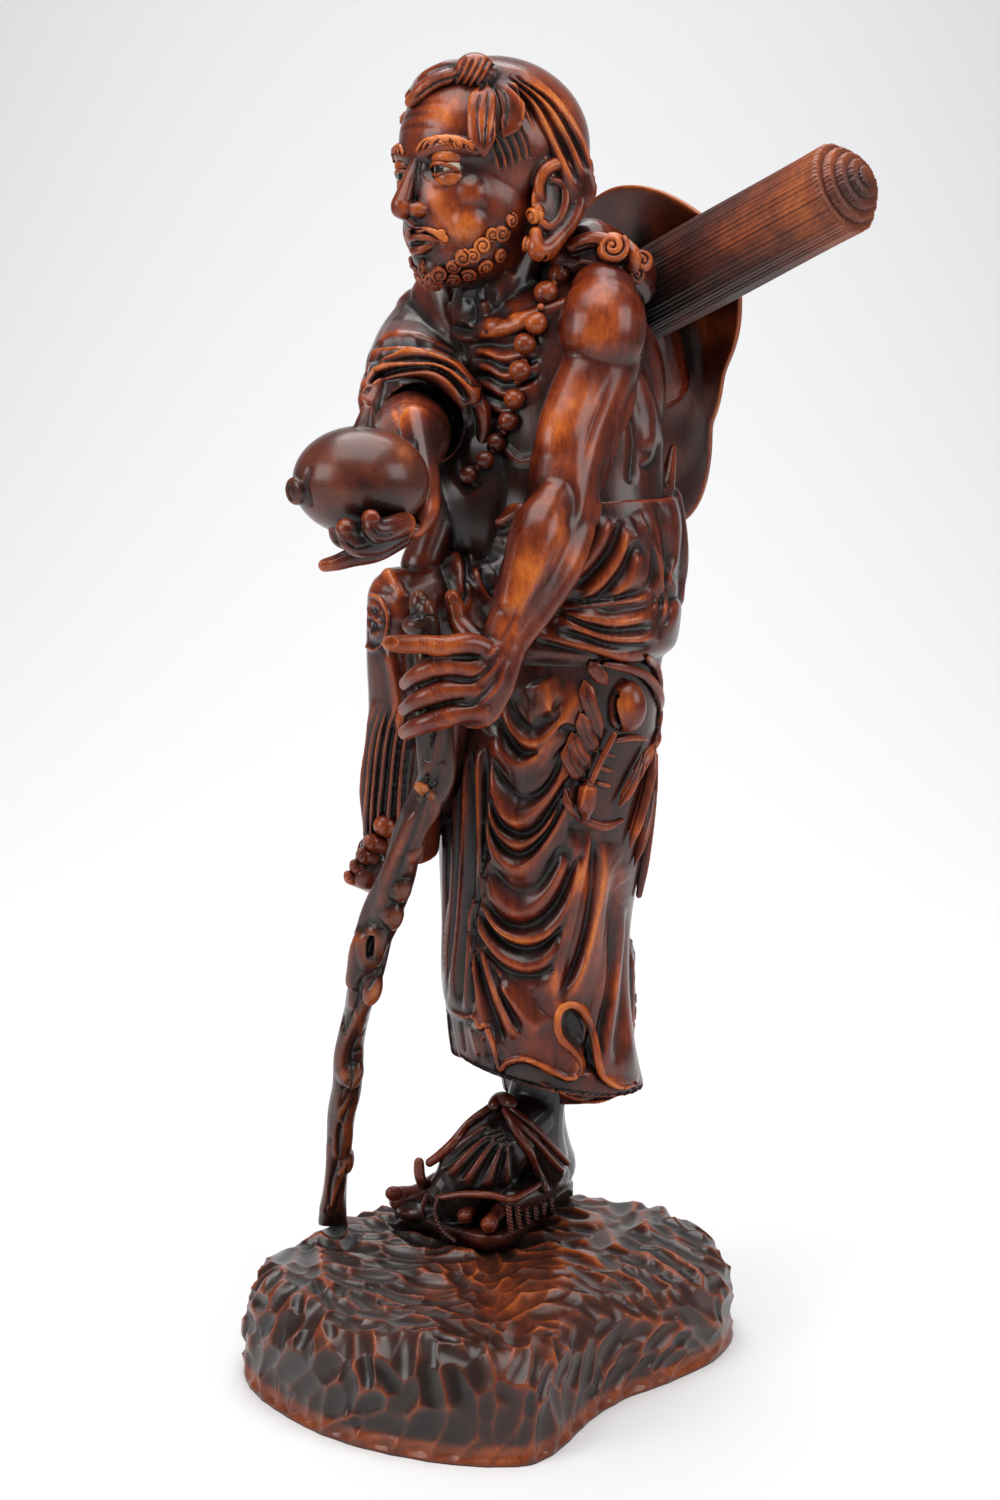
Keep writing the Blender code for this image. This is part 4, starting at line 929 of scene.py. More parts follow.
def ear_place(side, ahead, up, out):
    """A place on the ear's own plate, turned back at the top and standing off the head."""
    forward = ahead * math.cos(EAR_LEAN) - up * math.sin(EAR_LEAN)
    rise = ahead * math.sin(EAR_LEAN) + up * math.cos(EAR_LEAN)
    return (side * (29.5 + out), -8 + forward, -15 + rise)


def ear_parts(side):
    """A large ear: the rolled rim, the fold inside it, the small front flap and a long lobe."""
    rim = ((3, -1, 2.0, 1.8), (7, 5, 2.6, 2.4), (6.5, 12, 3.6, 2.9), (0, 16.5, 5.0, 3.1), (-7, 14, 6.6, 3.2),
           (-10.5, 6, 7.4, 3.2), (-9.5, -3, 7.0, 3.1), (-5.5, -11, 5.2, 3.4), (-0.5, -18, 3.6, 4.6),
           (3.5, -19, 3.0, 4.4), (5, -13, 2.2, 2.8))
    fold = ((3, 9.5, 3.6, 1.6), (-2.5, 9, 4.8, 2.1), (-4.8, 3, 5.6, 2.4), (-3.8, -4.5, 5.0, 2.5), (-0.2, -9, 3.8, 2.4),
            (3.6, -8, 3.0, 1.9))
    parts = []
    for line in (rim, fold):
        parts.append(head_tube([(*ear_place(side, a, u, o), r) for a, u, o, r in line], steps=7))
    parts.append(head_ball(ear_place(side, -1, 0, 1.2), (3.2, 9.5, 14)))
    parts.append(head_ball(ear_place(side, 1.5, -16, 1.8), (2.6, 4.2, 5)))
    parts.append(head_ball(ear_place(side, 5.6, -4, 2.6), (2.0, 2.2, 3.0)))
    return parts


def strand(tree, places, thick, curled):
    """A lock of hair along the skin that ends in a small curl."""
    line = smooth_line([(*p, thick) for p in places], 4)
    snapped = on_skin(tree, in_head(line[:, :3]), thick * 0.35)
    size = line[:, 3] * np.linspace(0.55, 1.0, len(line))
    return [tube(snapped, size, size, sides=8)] + curl(tree, snapped[-1], thick * curled, thick * 3)


def beard_curls(tree):
    curls = []
    for side in (-1, 1):
        jaw = smooth_line([(31, 3, -20), (29, 13, -25), (25, 21, -30.5), (18, 28, -36), (9, 33, -40)], 6)
        for i, place in enumerate(jaw[::3]):
            rise = 1.6 * math.sin(i * 2.3)
            curls += curl(tree, in_head((side * place[0], place[1], place[2] + rise))[0], 4.6 - 0.7 * (i % 2), i * 1.3)
        low = smooth_line([(28, 4, -30), (23, 14, -37), (15, 23, -43), (6, 29, -47)], 6)
        for i, place in enumerate(low[::4]):
            curls += curl(tree, in_head((side * place[0], place[1], place[2]))[0], 4.2, 1 + i * 1.7)
        for i in range(2):
            curls += strand(tree, [(side * (2 + i), 38, -20.5 - i), (side * (7 + i), 35.5, -21.5 - i),
                                   (side * (11.5 + i), 32.5, -24 - 2.2 * i)], 1.35, 2.1)
        for i in range(4):
            curls += strand(tree, [(side * (5 + 3.4 * i), 35 - i, 9.5 + 0.4 * i),
                                   (side * (8.5 + 3.8 * i), 34 - 1.6 * i, 12.2),
                                   (side * (12 + 4.2 * i), 32.5 - 2.6 * i, 11.5 - 0.9 * i)], 1.5, 2.0)
        for across, ahead, down in ((5, 33.5, -49.5), (11, 28.5, -47), (4.5, 35.5, -43)):
            curls += curl(tree, in_head((side * across, ahead, down))[0], 3.9, across)
    for place, size in (((0, 36, -46), 3.9), ((0, 36.5, -37), 3.2), ((0, 32, -53), 3.8), ((0, 37, -34), 2.4)):
        curls += curl(tree, in_head(place)[0], size, place[2] * 0.4)
    for place in ((26, 22, 23), (29, 17, 17), (22, 28, 27), (30, 14, 9)):
        curls += curl(tree, in_head(place)[0], 3.4, place[2] * 0.3)
    return curls


def headband(tree):
    """The cloth tied round the head: a knot with two leaf-shaped tails, a front roll and broad folds behind."""
    parts = [
        rope(tree, ((474, 80), (454, 80), (433, 88), (414, 104)), 9, 1.6, ends=0.7),
        rope(tree, ((472, 70), (450, 72), (430, 81), (410, 97)), 8, 1.4, ends=0.7),
        rope(tree, ((492, 84), (524, 102), (552, 136), (576, 190)), 27, -1.0, 0.24, 16, ends=0.75),
        rope(tree, ((486, 86), (482, 106), (481, 130), (484, 157)), 14, 1.2, 0.34, ends=0.12),
        rope(tree, ((496, 84), (508, 100), (511, 120), (503, 137)), 11, 1.6, 0.34, ends=0.2),
    ]
    knot = touch(tree, 475, 76, 2.2)
    parts += [ball(knot, (9.0, 8.0, 7.8), None, 4), ball(knot + (5.5, 1, -1.5), (5.0, 5, 5.5)),
              ball(knot + (-5.0, 0, -1.0), (4.6, 5, 5.5))]
    wrap = [(8, 26, 44), (24, 20, 38), (32, 4, 28), (34, -14, 14), (31, -32, -2), (18, -46, -14), (0, -50, -17),
            (-18, -46, -14), (-29, -34, -9)]
    for i in range(4):
        line = smooth_line([(r, f - 1.6 * i, u + 3.2 * i, 2.7) for r, f, u in wrap], 6)
        parts.append(tube(on_skin(tree, in_head(line[:, :3]), 0.8), line[:, 3], line[:, 3] * 0.8, sides=12))
    return parts


BAND_FOLDS = (
    (1.5, ((504, 84), (519, 100), (534, 132), (548, 170), (552, 192))),
    (1.6, ((506, 80), (532, 102), (551, 138), (570, 178), (574, 196))),
    (1.5, ((510, 76), (545, 104), (568, 140), (584, 178))),
    (1.3, ((514, 76), (552, 100), (578, 136), (592, 168))),
)


BAND_GROOVES = (
    (1.5, ((505, 82), (525, 104), (542, 136), (558, 176), (562, 196))),
    (1.5, ((508, 78), (539, 104), (560, 140), (578, 182))),
    (1.2, ((512, 76), (549, 102), (573, 138), (588, 172))),
)


def head_region():
    base = skin("base", face_base(), 0.95, 13)
    made = skin("head", [used_up(base)] + face_features(), 0.6, 3)
    dents = [((0, 36, 3), (7, 8, 5), -0.5, 0)]
    for side in (-1, 1):
        dents += [
            ((side * EYE_ACROSS, 31, 1.6), (9.5, 10, 6.5), -4.6, 0),
            ((side * 24, 18, -20), (10, 12, 12), -1.2, 0),
            ((side * 27, 16, 6), (8, 12, 12), -1.0, 0),
            ((side * 2.9, 40, -17.4), (1.8, 3.5, 1.8), 0, 1.8),
        ]
    press_head(made, dents)
    creases = []
    for side in (-1, 1):
        creases += [
            (2.4, -0.8, [(side * 7.5, 36, -12), (side * 10.5, 33.5, -17), (side * 13.5, 30.5, -24)]),
            (1.5, -0.45, [(side * 20, 28, -1), (side * 23.5, 24, -1.5), (side * 26, 20, -3)]),
            (1.5, -0.35, [(side * 20, 28, 2), (side * 24, 24, 3.5), (side * 26.5, 19, 5)]),
            (1.8, -0.5, [(side * 8, 34, -3.5), (side * 13, 33, -6), (side * 19, 29, -4.5)]),
        ]
        for i in range(4):
            creases.append((1.4, -0.6, [(side * 33, -24 + i, 4 - i * 5), (side * 30, -32 + i, 0 - i * 5),
                                        (side * 24, -39, -4 - i * 5)]))
    for i in range(3):
        creases.append((1.8, -0.42, [(-16, 29 - i, 17 + i * 4.6), (-6, 34 - i * 1.4, 19 + i * 4.6),
                                     (6, 34 - i * 1.4, 19 + i * 4.6), (16, 29 - i, 17 + i * 4.6)]))
    creases.append((1.0, -0.8, [(-9, 33, -26.8), (-3, 37.2, -26.6), (3, 37.2, -26.6), (9, 33, -26.8)]))
    carve_head(made, creases)
    tree = tree_of(made)
    hair = []
    for i in range(5):
        u, v = 486 + 7.2 * i, 150 - 3.2 * i
        hair.append((2.6, 0.9, ((u, v - 12), (u + 9, v + 6), (u + 13, v + 22))))
        hair.append((2.2, -0.9, ((u + 3.6, v - 12), (u + 12.6, v + 6), (u + 16.6, v + 22))))
    carve(made, hair)
    add_parts(made, [joined(lid_parts())])
    cloth = skin("headband", headband(tree), 0.5, 3)
    drape(cloth, BAND_FOLDS, BAND_GROOVES, 8.0, 1.2)
    cuts = [(3.2, -1.3, ((482 + i * 8, 58), (474 + i * 7.5, 74), (464 + i * 7.5, 92))) for i in range(-2, 3)]
    cuts += [(2.6, -1.0, ((460, 76), (436, 84), (414, 100))), (2.2, -0.7, ((458, 84), (440, 90), (424, 100)))]
    cuts += [(2.4, -1.0, ((489, 90), (487, 112), (484, 150))), (2.2, -0.8, ((480, 94), (477, 116), (480, 146))),
             (2.2, -0.8, ((497, 92), (496, 114), (490, 144))), (2.2, -0.9, ((499, 88), (507, 104), (505, 130)))]
    carve(cloth, cuts)
    add_parts(cloth, beard_curls(tree))
    return made, cloth


def eye_piece(name, side):
    """A pale inlaid eye with a dark pupil and a thin dark rim."""
    spot = np.array([side * EYE_ACROSS, 27.4, 1.6])
    made = as_object(name, [head_ball(spot, (6.1, 6.1, 5.7))])
    local = from_head(points_of(made)) - spot
    look = unit(np.array([-0.12, 1.0, -0.10]))
    turn = np.degrees(np.arccos(np.clip(local @ look / np.linalg.norm(local, axis=1), -1, 1)))
    store(made, "pale", np.clip((turn - PUPIL_TURN) / 3.0, 0, 1))
    hand_over(made, eye_inlay(), name)


def eye_inlay():
    """Bone with a faint yellow stain, and horn for the pupil."""
    made = bpy.data.materials.get("bone_and_horn")
    if made:
        return made
    made, tree, shader = new_material("bone_and_horn")
    stain = noise(tree, tree.nodes.new("ShaderNodeTexCoord").outputs["Object"], 700.0, 3.0)
    shade = math_node(tree, "MULTIPLY_ADD", math_node(tree, "SUBTRACT", stain, 0.5), 0.12, attribute(tree, "pale"))
    colour = ramp(tree, shade, ((0.0, (0.008, 0.006, 0.005)), (0.6, (0.03, 0.02, 0.014)), (1.0, (0.62, 0.53, 0.38))))
    tree.links.new(colour, shader.inputs["Base Color"])
    set_inputs(shader, roughness=0.22)
    return made


# The body, arms and hands


def torso_parts():
    return [
        stack([(462, 590, 288, 288, 34, 1.9), (420, 612, 312, 312, 33, 1.9), (432, 634, 345, 345, 32, 1.5),
               (440, 650, 385, 385, 32, 1.3), (446, 660, 430, 430, 32, 1.25), (448, 664, 480, 480, 32, 1.2),
               (446, 672, 530, 530, 32, 1.2), (450, 668, 580, 580, 32, 1.2)]),
        limb([(512, 250, 22, 40), (500, 285, 20, 42), (500, 315, 24, 50), (512, 345, 30, 62, 0.9)]),
        limb([(440, 322, 40, 9, 0.8), (478, 330, 8, 9, 0.8), (520, 322, -8, 9, 0.8), (566, 308, -10, 10, 0.8)]),
        ball(at(612, 390, 30), (25, 30, 40)),
        ball(at(484, 500, 18), (27, 28, 44)),
        limb([(448, 400, 22, 20), (448, 470, 10, 20), (440, 520, 4, 22), (424, 566, -4, 24)]),
        ball(at(418, 316, 62), (9, 9, 10)),
        limb([(524, 262, 34, 34), (556, 280, 26, 32), (590, 300, 18, 30)]),
    ]


def left_arm_parts():
    """The arm with its muscles: the round of the shoulder, upper arm, elbow and the swelling forearm."""
    return [
        limb([(606, 318, 0, 40, 0.95), (601, 350, -4, 42, 0.9), (589, 392, -9, 41, 0.88), (575, 430, -15, 38, 0.88),
              (566, 470, -21, 37, 0.9), (560, 505, -26, 36, 0.9), (546, 545, -32, 37, 0.85),
              (530, 582, -40, 33, 0.85), (514, 620, -48, 27, 0.8), (500, 655, -54, 23, 0.75)], 6),
        limb([(603, 296, -1, 34), (602, 316, -6, 44, 0.95), (600, 338, -9, 45, 0.9), (596, 360, -8, 39, 0.85),
              (589, 386, -8, 30, 0.85), (580, 412, -12, 22, 0.85)], 6),
        limb([(592, 344, -6, 22), (586, 370, -12, 26), (575, 402, -16, 29, 0.95), (562, 440, -23, 27, 0.9),
              (556, 478, -26, 18, 0.9)], 6),
        limb([(624, 344, 2, 18), (618, 372, -2, 22), (609, 404, -6, 26), (597, 440, -12, 24),
              (588, 480, -18, 18)], 6),
        limb([(586, 496, -22, 14), (585, 512, -25, 17), (578, 532, -26, 14)], 6),
        limb([(553, 500, -34, 20), (540, 530, -40, 29, 0.95), (528, 566, -46, 26, 0.9),
              (514, 604, -52, 17, 0.9)], 6),
        limb([(578, 530, -30, 18), (562, 566, -36, 22), (543, 604, -44, 17), (522, 640, -52, 11)], 6),
    ]


def finger(stations):
    return limb(stations, 6, sides=16)


def left_hand_parts():
    parts = [
        limb([(503, 650, -54, 23, 0.7), (488, 676, -57, 30, 0.55), (476, 700, -58, 30, 0.5)], 5),
        finger([(490, 653, -57, 13), (472, 645, -61, 12), (458, 645, -64, 11), (440, 647, -66, 11.2),
                (424, 645, -68, 9.6), (408, 645, -69, 9.8), (390, 644, -71, 8.2)]),
        finger([(490, 655, -50, 13), (474, 640, -46, 12.5), (460, 624, -42, 11.5), (456, 610, -41, 10),
                (452, 598, -40, 8)]),
    ]
    for base, knuckle, tip in (((478, 671), (437, 667), (407, 684)), ((480, 691), (438, 693), (406, 710)),
                               ((482, 711), (441, 719), (406, 733))):
        middle = ((base[0] + knuckle[0]) / 2, (base[1] + knuckle[1]) / 2 - 2)
        bend = ((knuckle[0] + tip[0]) / 2 - 4, (knuckle[1] + tip[1]) / 2)
        parts.append(finger([(*base, -59, 14), (*middle, -62, 11.2), (*knuckle, -62.8, 12), (*bend, -60, 10.2),
                             (tip[0], tip[1], -50, 8.4)]))
    return parts


BEAD_PLACES = ((578, 266), (561, 279), (547, 298), (536, 322), (527, 348), (522, 373), (516, 397), (511, 421),
               (499, 444), (485, 462), (471, 475))


def beads(tree):
    """The string of beads, each a little smaller than the last, with a smaller spacer between."""
    parts = []
    for i, (across, down) in enumerate(BEAD_PLACES):
        size = wide(12.6 - 0.34 * i)
        middle = touch(tree, across, down, size * 0.45)
        parts.append(ball(middle, (size, size, size * 0.96)))
        if i:
            u, v = BEAD_PLACES[i - 1]
            joint = touch(tree, (across + u) / 2, (down + v) / 2, size * 0.3)
            parts.append(ball(joint, (size * 0.35,) * 3, None, 2))
    return parts


GOURD_MIDDLE = at(361, 482, -98)


def right_arm_region():
    """The forearm, the cupped hand and its fingers under the gourd."""
    parts = [
        limb([(412, 432, 0, 40), (411, 442, -30, 37), (412, 456, -58, 29, 0.9), (414, 470, -78, 21, 0.9)], 6),
        limb([(416, 424, -64, 17, 1.2), (423, 462, -76, 15, 1.3), (426, 492, -86, 14.5, 1.4), (424, 513, -92, 14, 1.4),
              (413, 530, -97, 10, 1.3), (401, 521, -102, 6, 1.2), (394, 511, -105, 4, 1.2)], 6),
        limb([(412, 520, -84, 16), (396, 528, -92, 16), (376, 534, -98, 15)]),
        finger([(400, 538, -96, 12), (376, 551, -108, 12), (352, 558, -110, 10), (338, 563, -110, 8.5),
                (325, 566, -109, 7)]),
        finger([(404, 524, -112, 12), (390, 529, -122, 12.5), (376, 531, -127, 12.5), (371, 520, -127, 10)]),
        finger([(402, 530, -106, 13), (378, 541, -118, 14.5), (356, 543, -123, 14), (346, 530, -123, 11)]),
        finger([(384, 530, -96, 11), (360, 540, -100, 11.5), (342, 538, -102, 11), (337, 526, -104, 9.5)]),
    ]
    made = skin("right_arm", parts, 0.58, 3)
    carve(made, [(7, 1.0, ((392, 408), (402, 432), (410, 456))), (4, -0.8, ((416, 440), (413, 480), (410, 512))),
                 (2.2, -0.7, ((394, 534), (380, 536), (372, 527))),
                 (2.2, -0.7, ((372, 545), (356, 549), (344, 541))), (2, -0.6, ((352, 553), (338, 556), (328, 560)))]
          + [(1.5, -0.55, ((331 + 4.4 * i, 530 + 2 * i), (334 + 4.2 * i, 537 + 2 * i), (338 + 4 * i, 545 + i)))
             for i in range(5)])
    return nailed(made, ((372, 519, (2.9, 1.0, 2.4)), (325, 565, (2.2, 0.9, 1.4)), (347, 530, (2.5, 0.9, 2.2))), 0.1)


def gourd_region():
    """The smooth gourd with its cut stalk at one side and a small spike on top."""
    parts = [
        ball(GOURD_MIDDLE, (27.8, 25, 22.3), None, 5),
        limb([(324, 484, -98, 18), (306, 490, -105, 16), (294, 492, -109, 14)], rounded=(1.0, 0.3)),
        limb([(362, 450, -104, 14, 0.8), (364, 430, -103, 11, 0.8), (368, 408, -101, 6, 0.8)], rounded=(1.0, 0.2)),
    ]
    made = skin("gourd", parts, 0.6, 3)
    carve(made, [(5, -1.2, ((311, 466), (306, 486), (312, 508))), (3, -0.7, ((290, 484), (288, 493), (292, 502)))])
    return made


def torso_region():
    """Neck, chest and belly, with the collarbones and ribs of an old man, and the string of beads."""
    made = skin("torso", torso_parts(), 0.9, 9)
    ridges = [
        (1.4, ((417, 294), (431, 315), (448, 331), (460, 339), (478, 340))),
        (1.0, ((446, 294), (453, 311), (455, 322), (450, 331))),
        (1.3, ((484, 300), (489, 318), (488, 334))),
        (1.0, ((508, 270), (502, 288), (496, 304))),
        (1.8, ((478, 340), (488, 334), (501, 334), (515, 329), (532, 322))),
        (1.6, ((476, 350), (488, 354), (501, 359), (518, 357), (540, 350))),
        (1.6, ((478, 366), (490, 369), (502, 376), (518, 375), (540, 367))),
        (1.5, ((478, 384), (490, 387), (502, 394), (518, 392), (540, 384))),
        (1.4, ((476, 402), (490, 406), (502, 412), (518, 410))),
        (1.1, ((474, 421), (490, 426), (506, 430))),
    ]
    valleys = [
        (1.2, ((430, 300), (444, 318), (462, 330), (478, 330))),
        (1.4, ((468, 292), (474, 310), (472, 328))),
        (1.0, ((495, 290), (499, 308), (508, 320))),
        (1.1, ((470, 347), (488, 344), (504, 346), (520, 342), (540, 335))),
        (1.2, ((472, 359), (490, 361), (504, 368), (520, 366), (540, 358))),
        (1.2, ((472, 375), (490, 378), (504, 385), (520, 383), (540, 375))),
        (1.1, ((472, 393), (490, 397), (504, 403), (520, 401))),
        (1.0, ((470, 412), (490, 416), (506, 421))),
        (1.3, ((462, 345), (463, 380), (466, 420))),
    ]
    drape(made, ridges, valleys, 15.0, 1.4)
    carve(made, [
        (14, -2.0, ((456, 440), (462, 470), (476, 492))),
        (12, 1.8, ((636, 372), (650, 410), (648, 452))),
        (9, -1.8, ((626, 398), (634, 440), (630, 486))),
        (7, -1.4, ((640, 470), (654, 462), (662, 440))),
        (8, 1.2, ((500, 445), (520, 462), (540, 458))),
    ])
    return add_parts(made, beads(tree_of(made)))


def left_arm_region():
    """The bare left arm and the hand that holds the staff."""
    arm = used_up(skin("arm_form", left_arm_parts(), 0.95, 15))
    made = skin("left_arm", [arm] + left_hand_parts(), 0.64, 6)
    carve(made, [
        (9, -1.0, ((612, 372), (600, 406), (588, 440), (580, 474))),
        (9, -1.0, ((636, 370), (624, 420), (610, 470), (604, 500))),
        (8, -0.9, ((566, 478), (574, 494), (574, 514), (562, 530))),
        (9, -1.0, ((566, 530), (550, 566), (532, 604), (516, 634))),
        (5, -0.8, ((520, 600), (512, 622), (500, 644))),
        (4.5, -1.1, ((496, 662), (474, 680), (450, 682))),
        (4.5, -1.1, ((499, 676), (476, 702), (450, 706))),
        (4.5, -1.0, ((490, 657), (468, 659), (448, 658))),
        (5, 0.8, ((500, 644), (488, 656), (470, 664))),
        (5, 0.8, ((504, 654), (490, 674), (470, 690))),
        (5, 0.8, ((508, 662), (496, 690), (476, 708))),
    ], 0.5)
    wrinkles = []
    for u, v, lean in ((440, 647, 0), (424, 645, 0), (438, 667, 3), (438, 693, 4), (441, 719, 4)):
        for shift in (-3.2, 0, 3.2):
            wrinkles.append((1.7, -0.35, ((u + shift - lean, v - 6), (u + shift - 0.6, v), (u + shift + lean, v + 6))))
    carve(made, wrinkles)
    return nailed(made, ((391, 643, (3.6, 1.0, 2.7)), (453, 600, (2.4, 1.0, 3.2))), 0.15)


def sleeve_region():
    """The right sleeve, rolled up in soft folds round the dark opening."""
    parts = [
        limb([(424, 316, 62, 30, 0.9), (420, 345, 52, 44, 0.9), (420, 380, 30, 56, 0.8), (424, 420, 8, 56, 0.75)], 6),
        limb([(388, 362, 28, 18), (374, 398, 6, 16), (372, 424, -4, 9)]),
        limb([(392, 372, 10, 16), (430, 366, 0, 17), (466, 396, -4, 17), (478, 440, 2, 13),
              (464, 478, 14, 9)]),
        limb([(440, 300, 52, 30), (452, 330, 34, 26), (470, 370, 22, 20)]),
    ]
    made = skin("sleeve", parts, 0.8, 8)
    crests = [
        (2.2, ((366, 372), (372, 356), (390, 352), (410, 352), (430, 356), (452, 366), (472, 384))),
        (2.0, ((374, 346), (395, 336), (419, 338), (440, 348), (458, 358), (474, 372))),
        (2.6, ((361, 392), (376, 373), (395, 366), (419, 365), (438, 367), (454, 376), (469, 391), (482, 402))),
        (2.2, ((360, 408), (367, 391), (381, 381), (402, 374), (427, 372), (442, 378), (454, 390), (462, 410))),
        (1.8, ((482, 398), (486, 420), (483, 442), (472, 466), (456, 484))),
    ]
    valleys = [
        (2.2, ((370, 363), (384, 361), (407, 360), (431, 361), (453, 369), (473, 385))),
        (1.8, ((374, 351), (392, 345), (412, 345), (434, 351), (456, 362))),
        (2.4, ((364, 397), (379, 378), (402, 370), (427, 368), (445, 374), (460, 388), (468, 404))),
        (1.6, ((366, 380), (372, 366), (384, 361))),
        (2.0, ((468, 404), (475, 424), (472, 446), (462, 466))),
    ]
    drape(made, crests, valleys, 15.0, 1.4)
    return hollowed(made, [limb([(416, 440, -40, 44, 0.92), (420, 428, -12, 44, 0.92), (428, 406, 26, 34, 0.9)])])


# The robe


SKIRT_CRESTS = (
    (3.0, ((502, 709), (514, 730), (530, 743), (543, 741), (557, 727), (571, 709), (583, 686))),
    (2.6, ((494, 736), (501, 753), (519, 765), (534, 759), (546, 744), (562, 728))),
    (3.2, ((492, 767), (497, 795), (505, 814), (519, 821), (537, 809), (554, 789), (568, 762))),
    (1.8, ((488, 806), (499, 833), (519, 845), (541, 833), (559, 808))),
    (3.0, ((486, 822), (493, 846), (506, 863), (519, 869), (535, 858), (552, 833), (565, 808), (576, 780))),
    (2.6, ((487, 877), (500, 900), (517, 912), (534, 907), (552, 885), (567, 856))),
    (3.0, ((481, 905), (498, 928), (515, 938), (534, 939), (551, 929), (568, 902), (582, 862), (592, 830))),
    (3.0, ((476, 917), (487, 937), (502, 956), (522, 967), (538, 965), (550, 955), (559, 936))),
    (2.6, ((470, 930), (477, 975), (482, 1012), (489, 1040), (497, 1058))),
    (2.4, ((482, 943), (492, 980), (506, 1015), (516, 1040))),
    (2.0, ((500, 985), (513, 1002), (527, 1020), (541, 1034))),
    (3.0, ((604, 842), (601, 880), (594, 916), (585, 955), (576, 985), (573, 1000))),
    (2.8, ((578, 830), (576, 870), (566, 920), (556, 960), (552, 1000))),
    (2.2, ((622, 905), (618, 950), (612, 1000), (605, 1046), (606, 1076))),
    (2.2, ((634, 920), (632, 980), (632, 1030), (633, 1076))),
    (2.4, ((466, 748), (466, 810), (462, 880), (459, 930), (454, 975), (450, 1008))),
    (2.0, ((478, 748), (480, 800), (481, 850), (481, 896))),
    (2.0, ((455, 752), (456, 830), (453, 900), (448, 960), (444, 990))),
    (2.0, ((446, 760), (446, 850), (444, 930), (442, 980))),
    (2.0, ((472, 900), (470, 940), (468, 980), (467, 1012))),
    (2.4, ((540, 680), (548, 700), (552, 716))),
)


SKIRT_VALLEYS = (
    (2.2, ((497, 714), (507, 736), (521, 753), (538, 753))),
    (1.8, ((506, 690), (514, 712), (528, 728), (543, 724), (558, 702))),
    (1.9, ((493, 762), (502, 781), (517, 797), (534, 797), (551, 782), (566, 748))),
    (1.8, ((489, 797), (499, 823), (517, 835), (534, 832), (551, 812), (566, 784))),
    (1.9, ((487, 818), (499, 845), (516, 856), (533, 850), (551, 828), (564, 800))),
    (1.5, ((492, 868), (506, 886), (519, 893), (537, 887), (551, 869), (564, 846))),
    (2.2, ((484, 900), (499, 921), (513, 928), (528, 928), (547, 917), (562, 897), (578, 856))),
    (2.2, ((480, 911), (495, 935), (513, 948), (533, 950), (550, 941), (559, 930))),
    (1.6, ((474, 930), (484, 950), (500, 968), (518, 976), (540, 976), (552, 968))),
    (1.8, ((476, 950), (485, 991), (494, 1018), (504, 1042))),
    (1.5, ((490, 962), (502, 996), (514, 1020), (522, 1034))),
    (2.2, ((592, 830), (594, 870), (588, 920), (577, 962), (563, 994), (560, 1004))),
    (1.6, ((614, 880), (612, 930), (610, 984), (600, 1030), (598, 1050))),
    (1.4, ((628, 910), (625, 960), (622, 1010), (616, 1060))),
    (1.8, ((461, 750), (461, 830), (458, 900), (452, 960), (447, 995))),
    (1.8, ((472, 746), (473, 810), (472, 880), (466, 950), (460, 1012))),
    (1.6, ((450, 756), (450, 850), (448, 930), (446, 975))),
    (2.2, ((486, 750), (485, 800), (484, 850), (478, 900), (474, 920))),
    (1.4, ((476, 905), (474, 950), (474, 1000))),
)


HEM = ((441, 988), (446, 1004), (453, 1013), (465, 1018), (474, 1018), (478, 1028), (487, 1028), (493, 1046),
       (500, 1070), (506, 1064), (523, 1060), (538, 1065), (554, 1073), (568, 1079), (579, 1075))


HEM_CURL = ((580, 1073), (580, 1062), (571, 1050), (561, 1040), (557, 1025), (560, 1011), (570, 1005), (580, 1009),
            (588, 1021), (595, 1043), (599, 1066), (605, 1079), (619, 1088), (634, 1086), (641, 1072))


# The plain folds at the back: how many would go all round, and how deep they are
BACK_FOLDS = 15
BACK_FOLD_DEPTH = 1.9


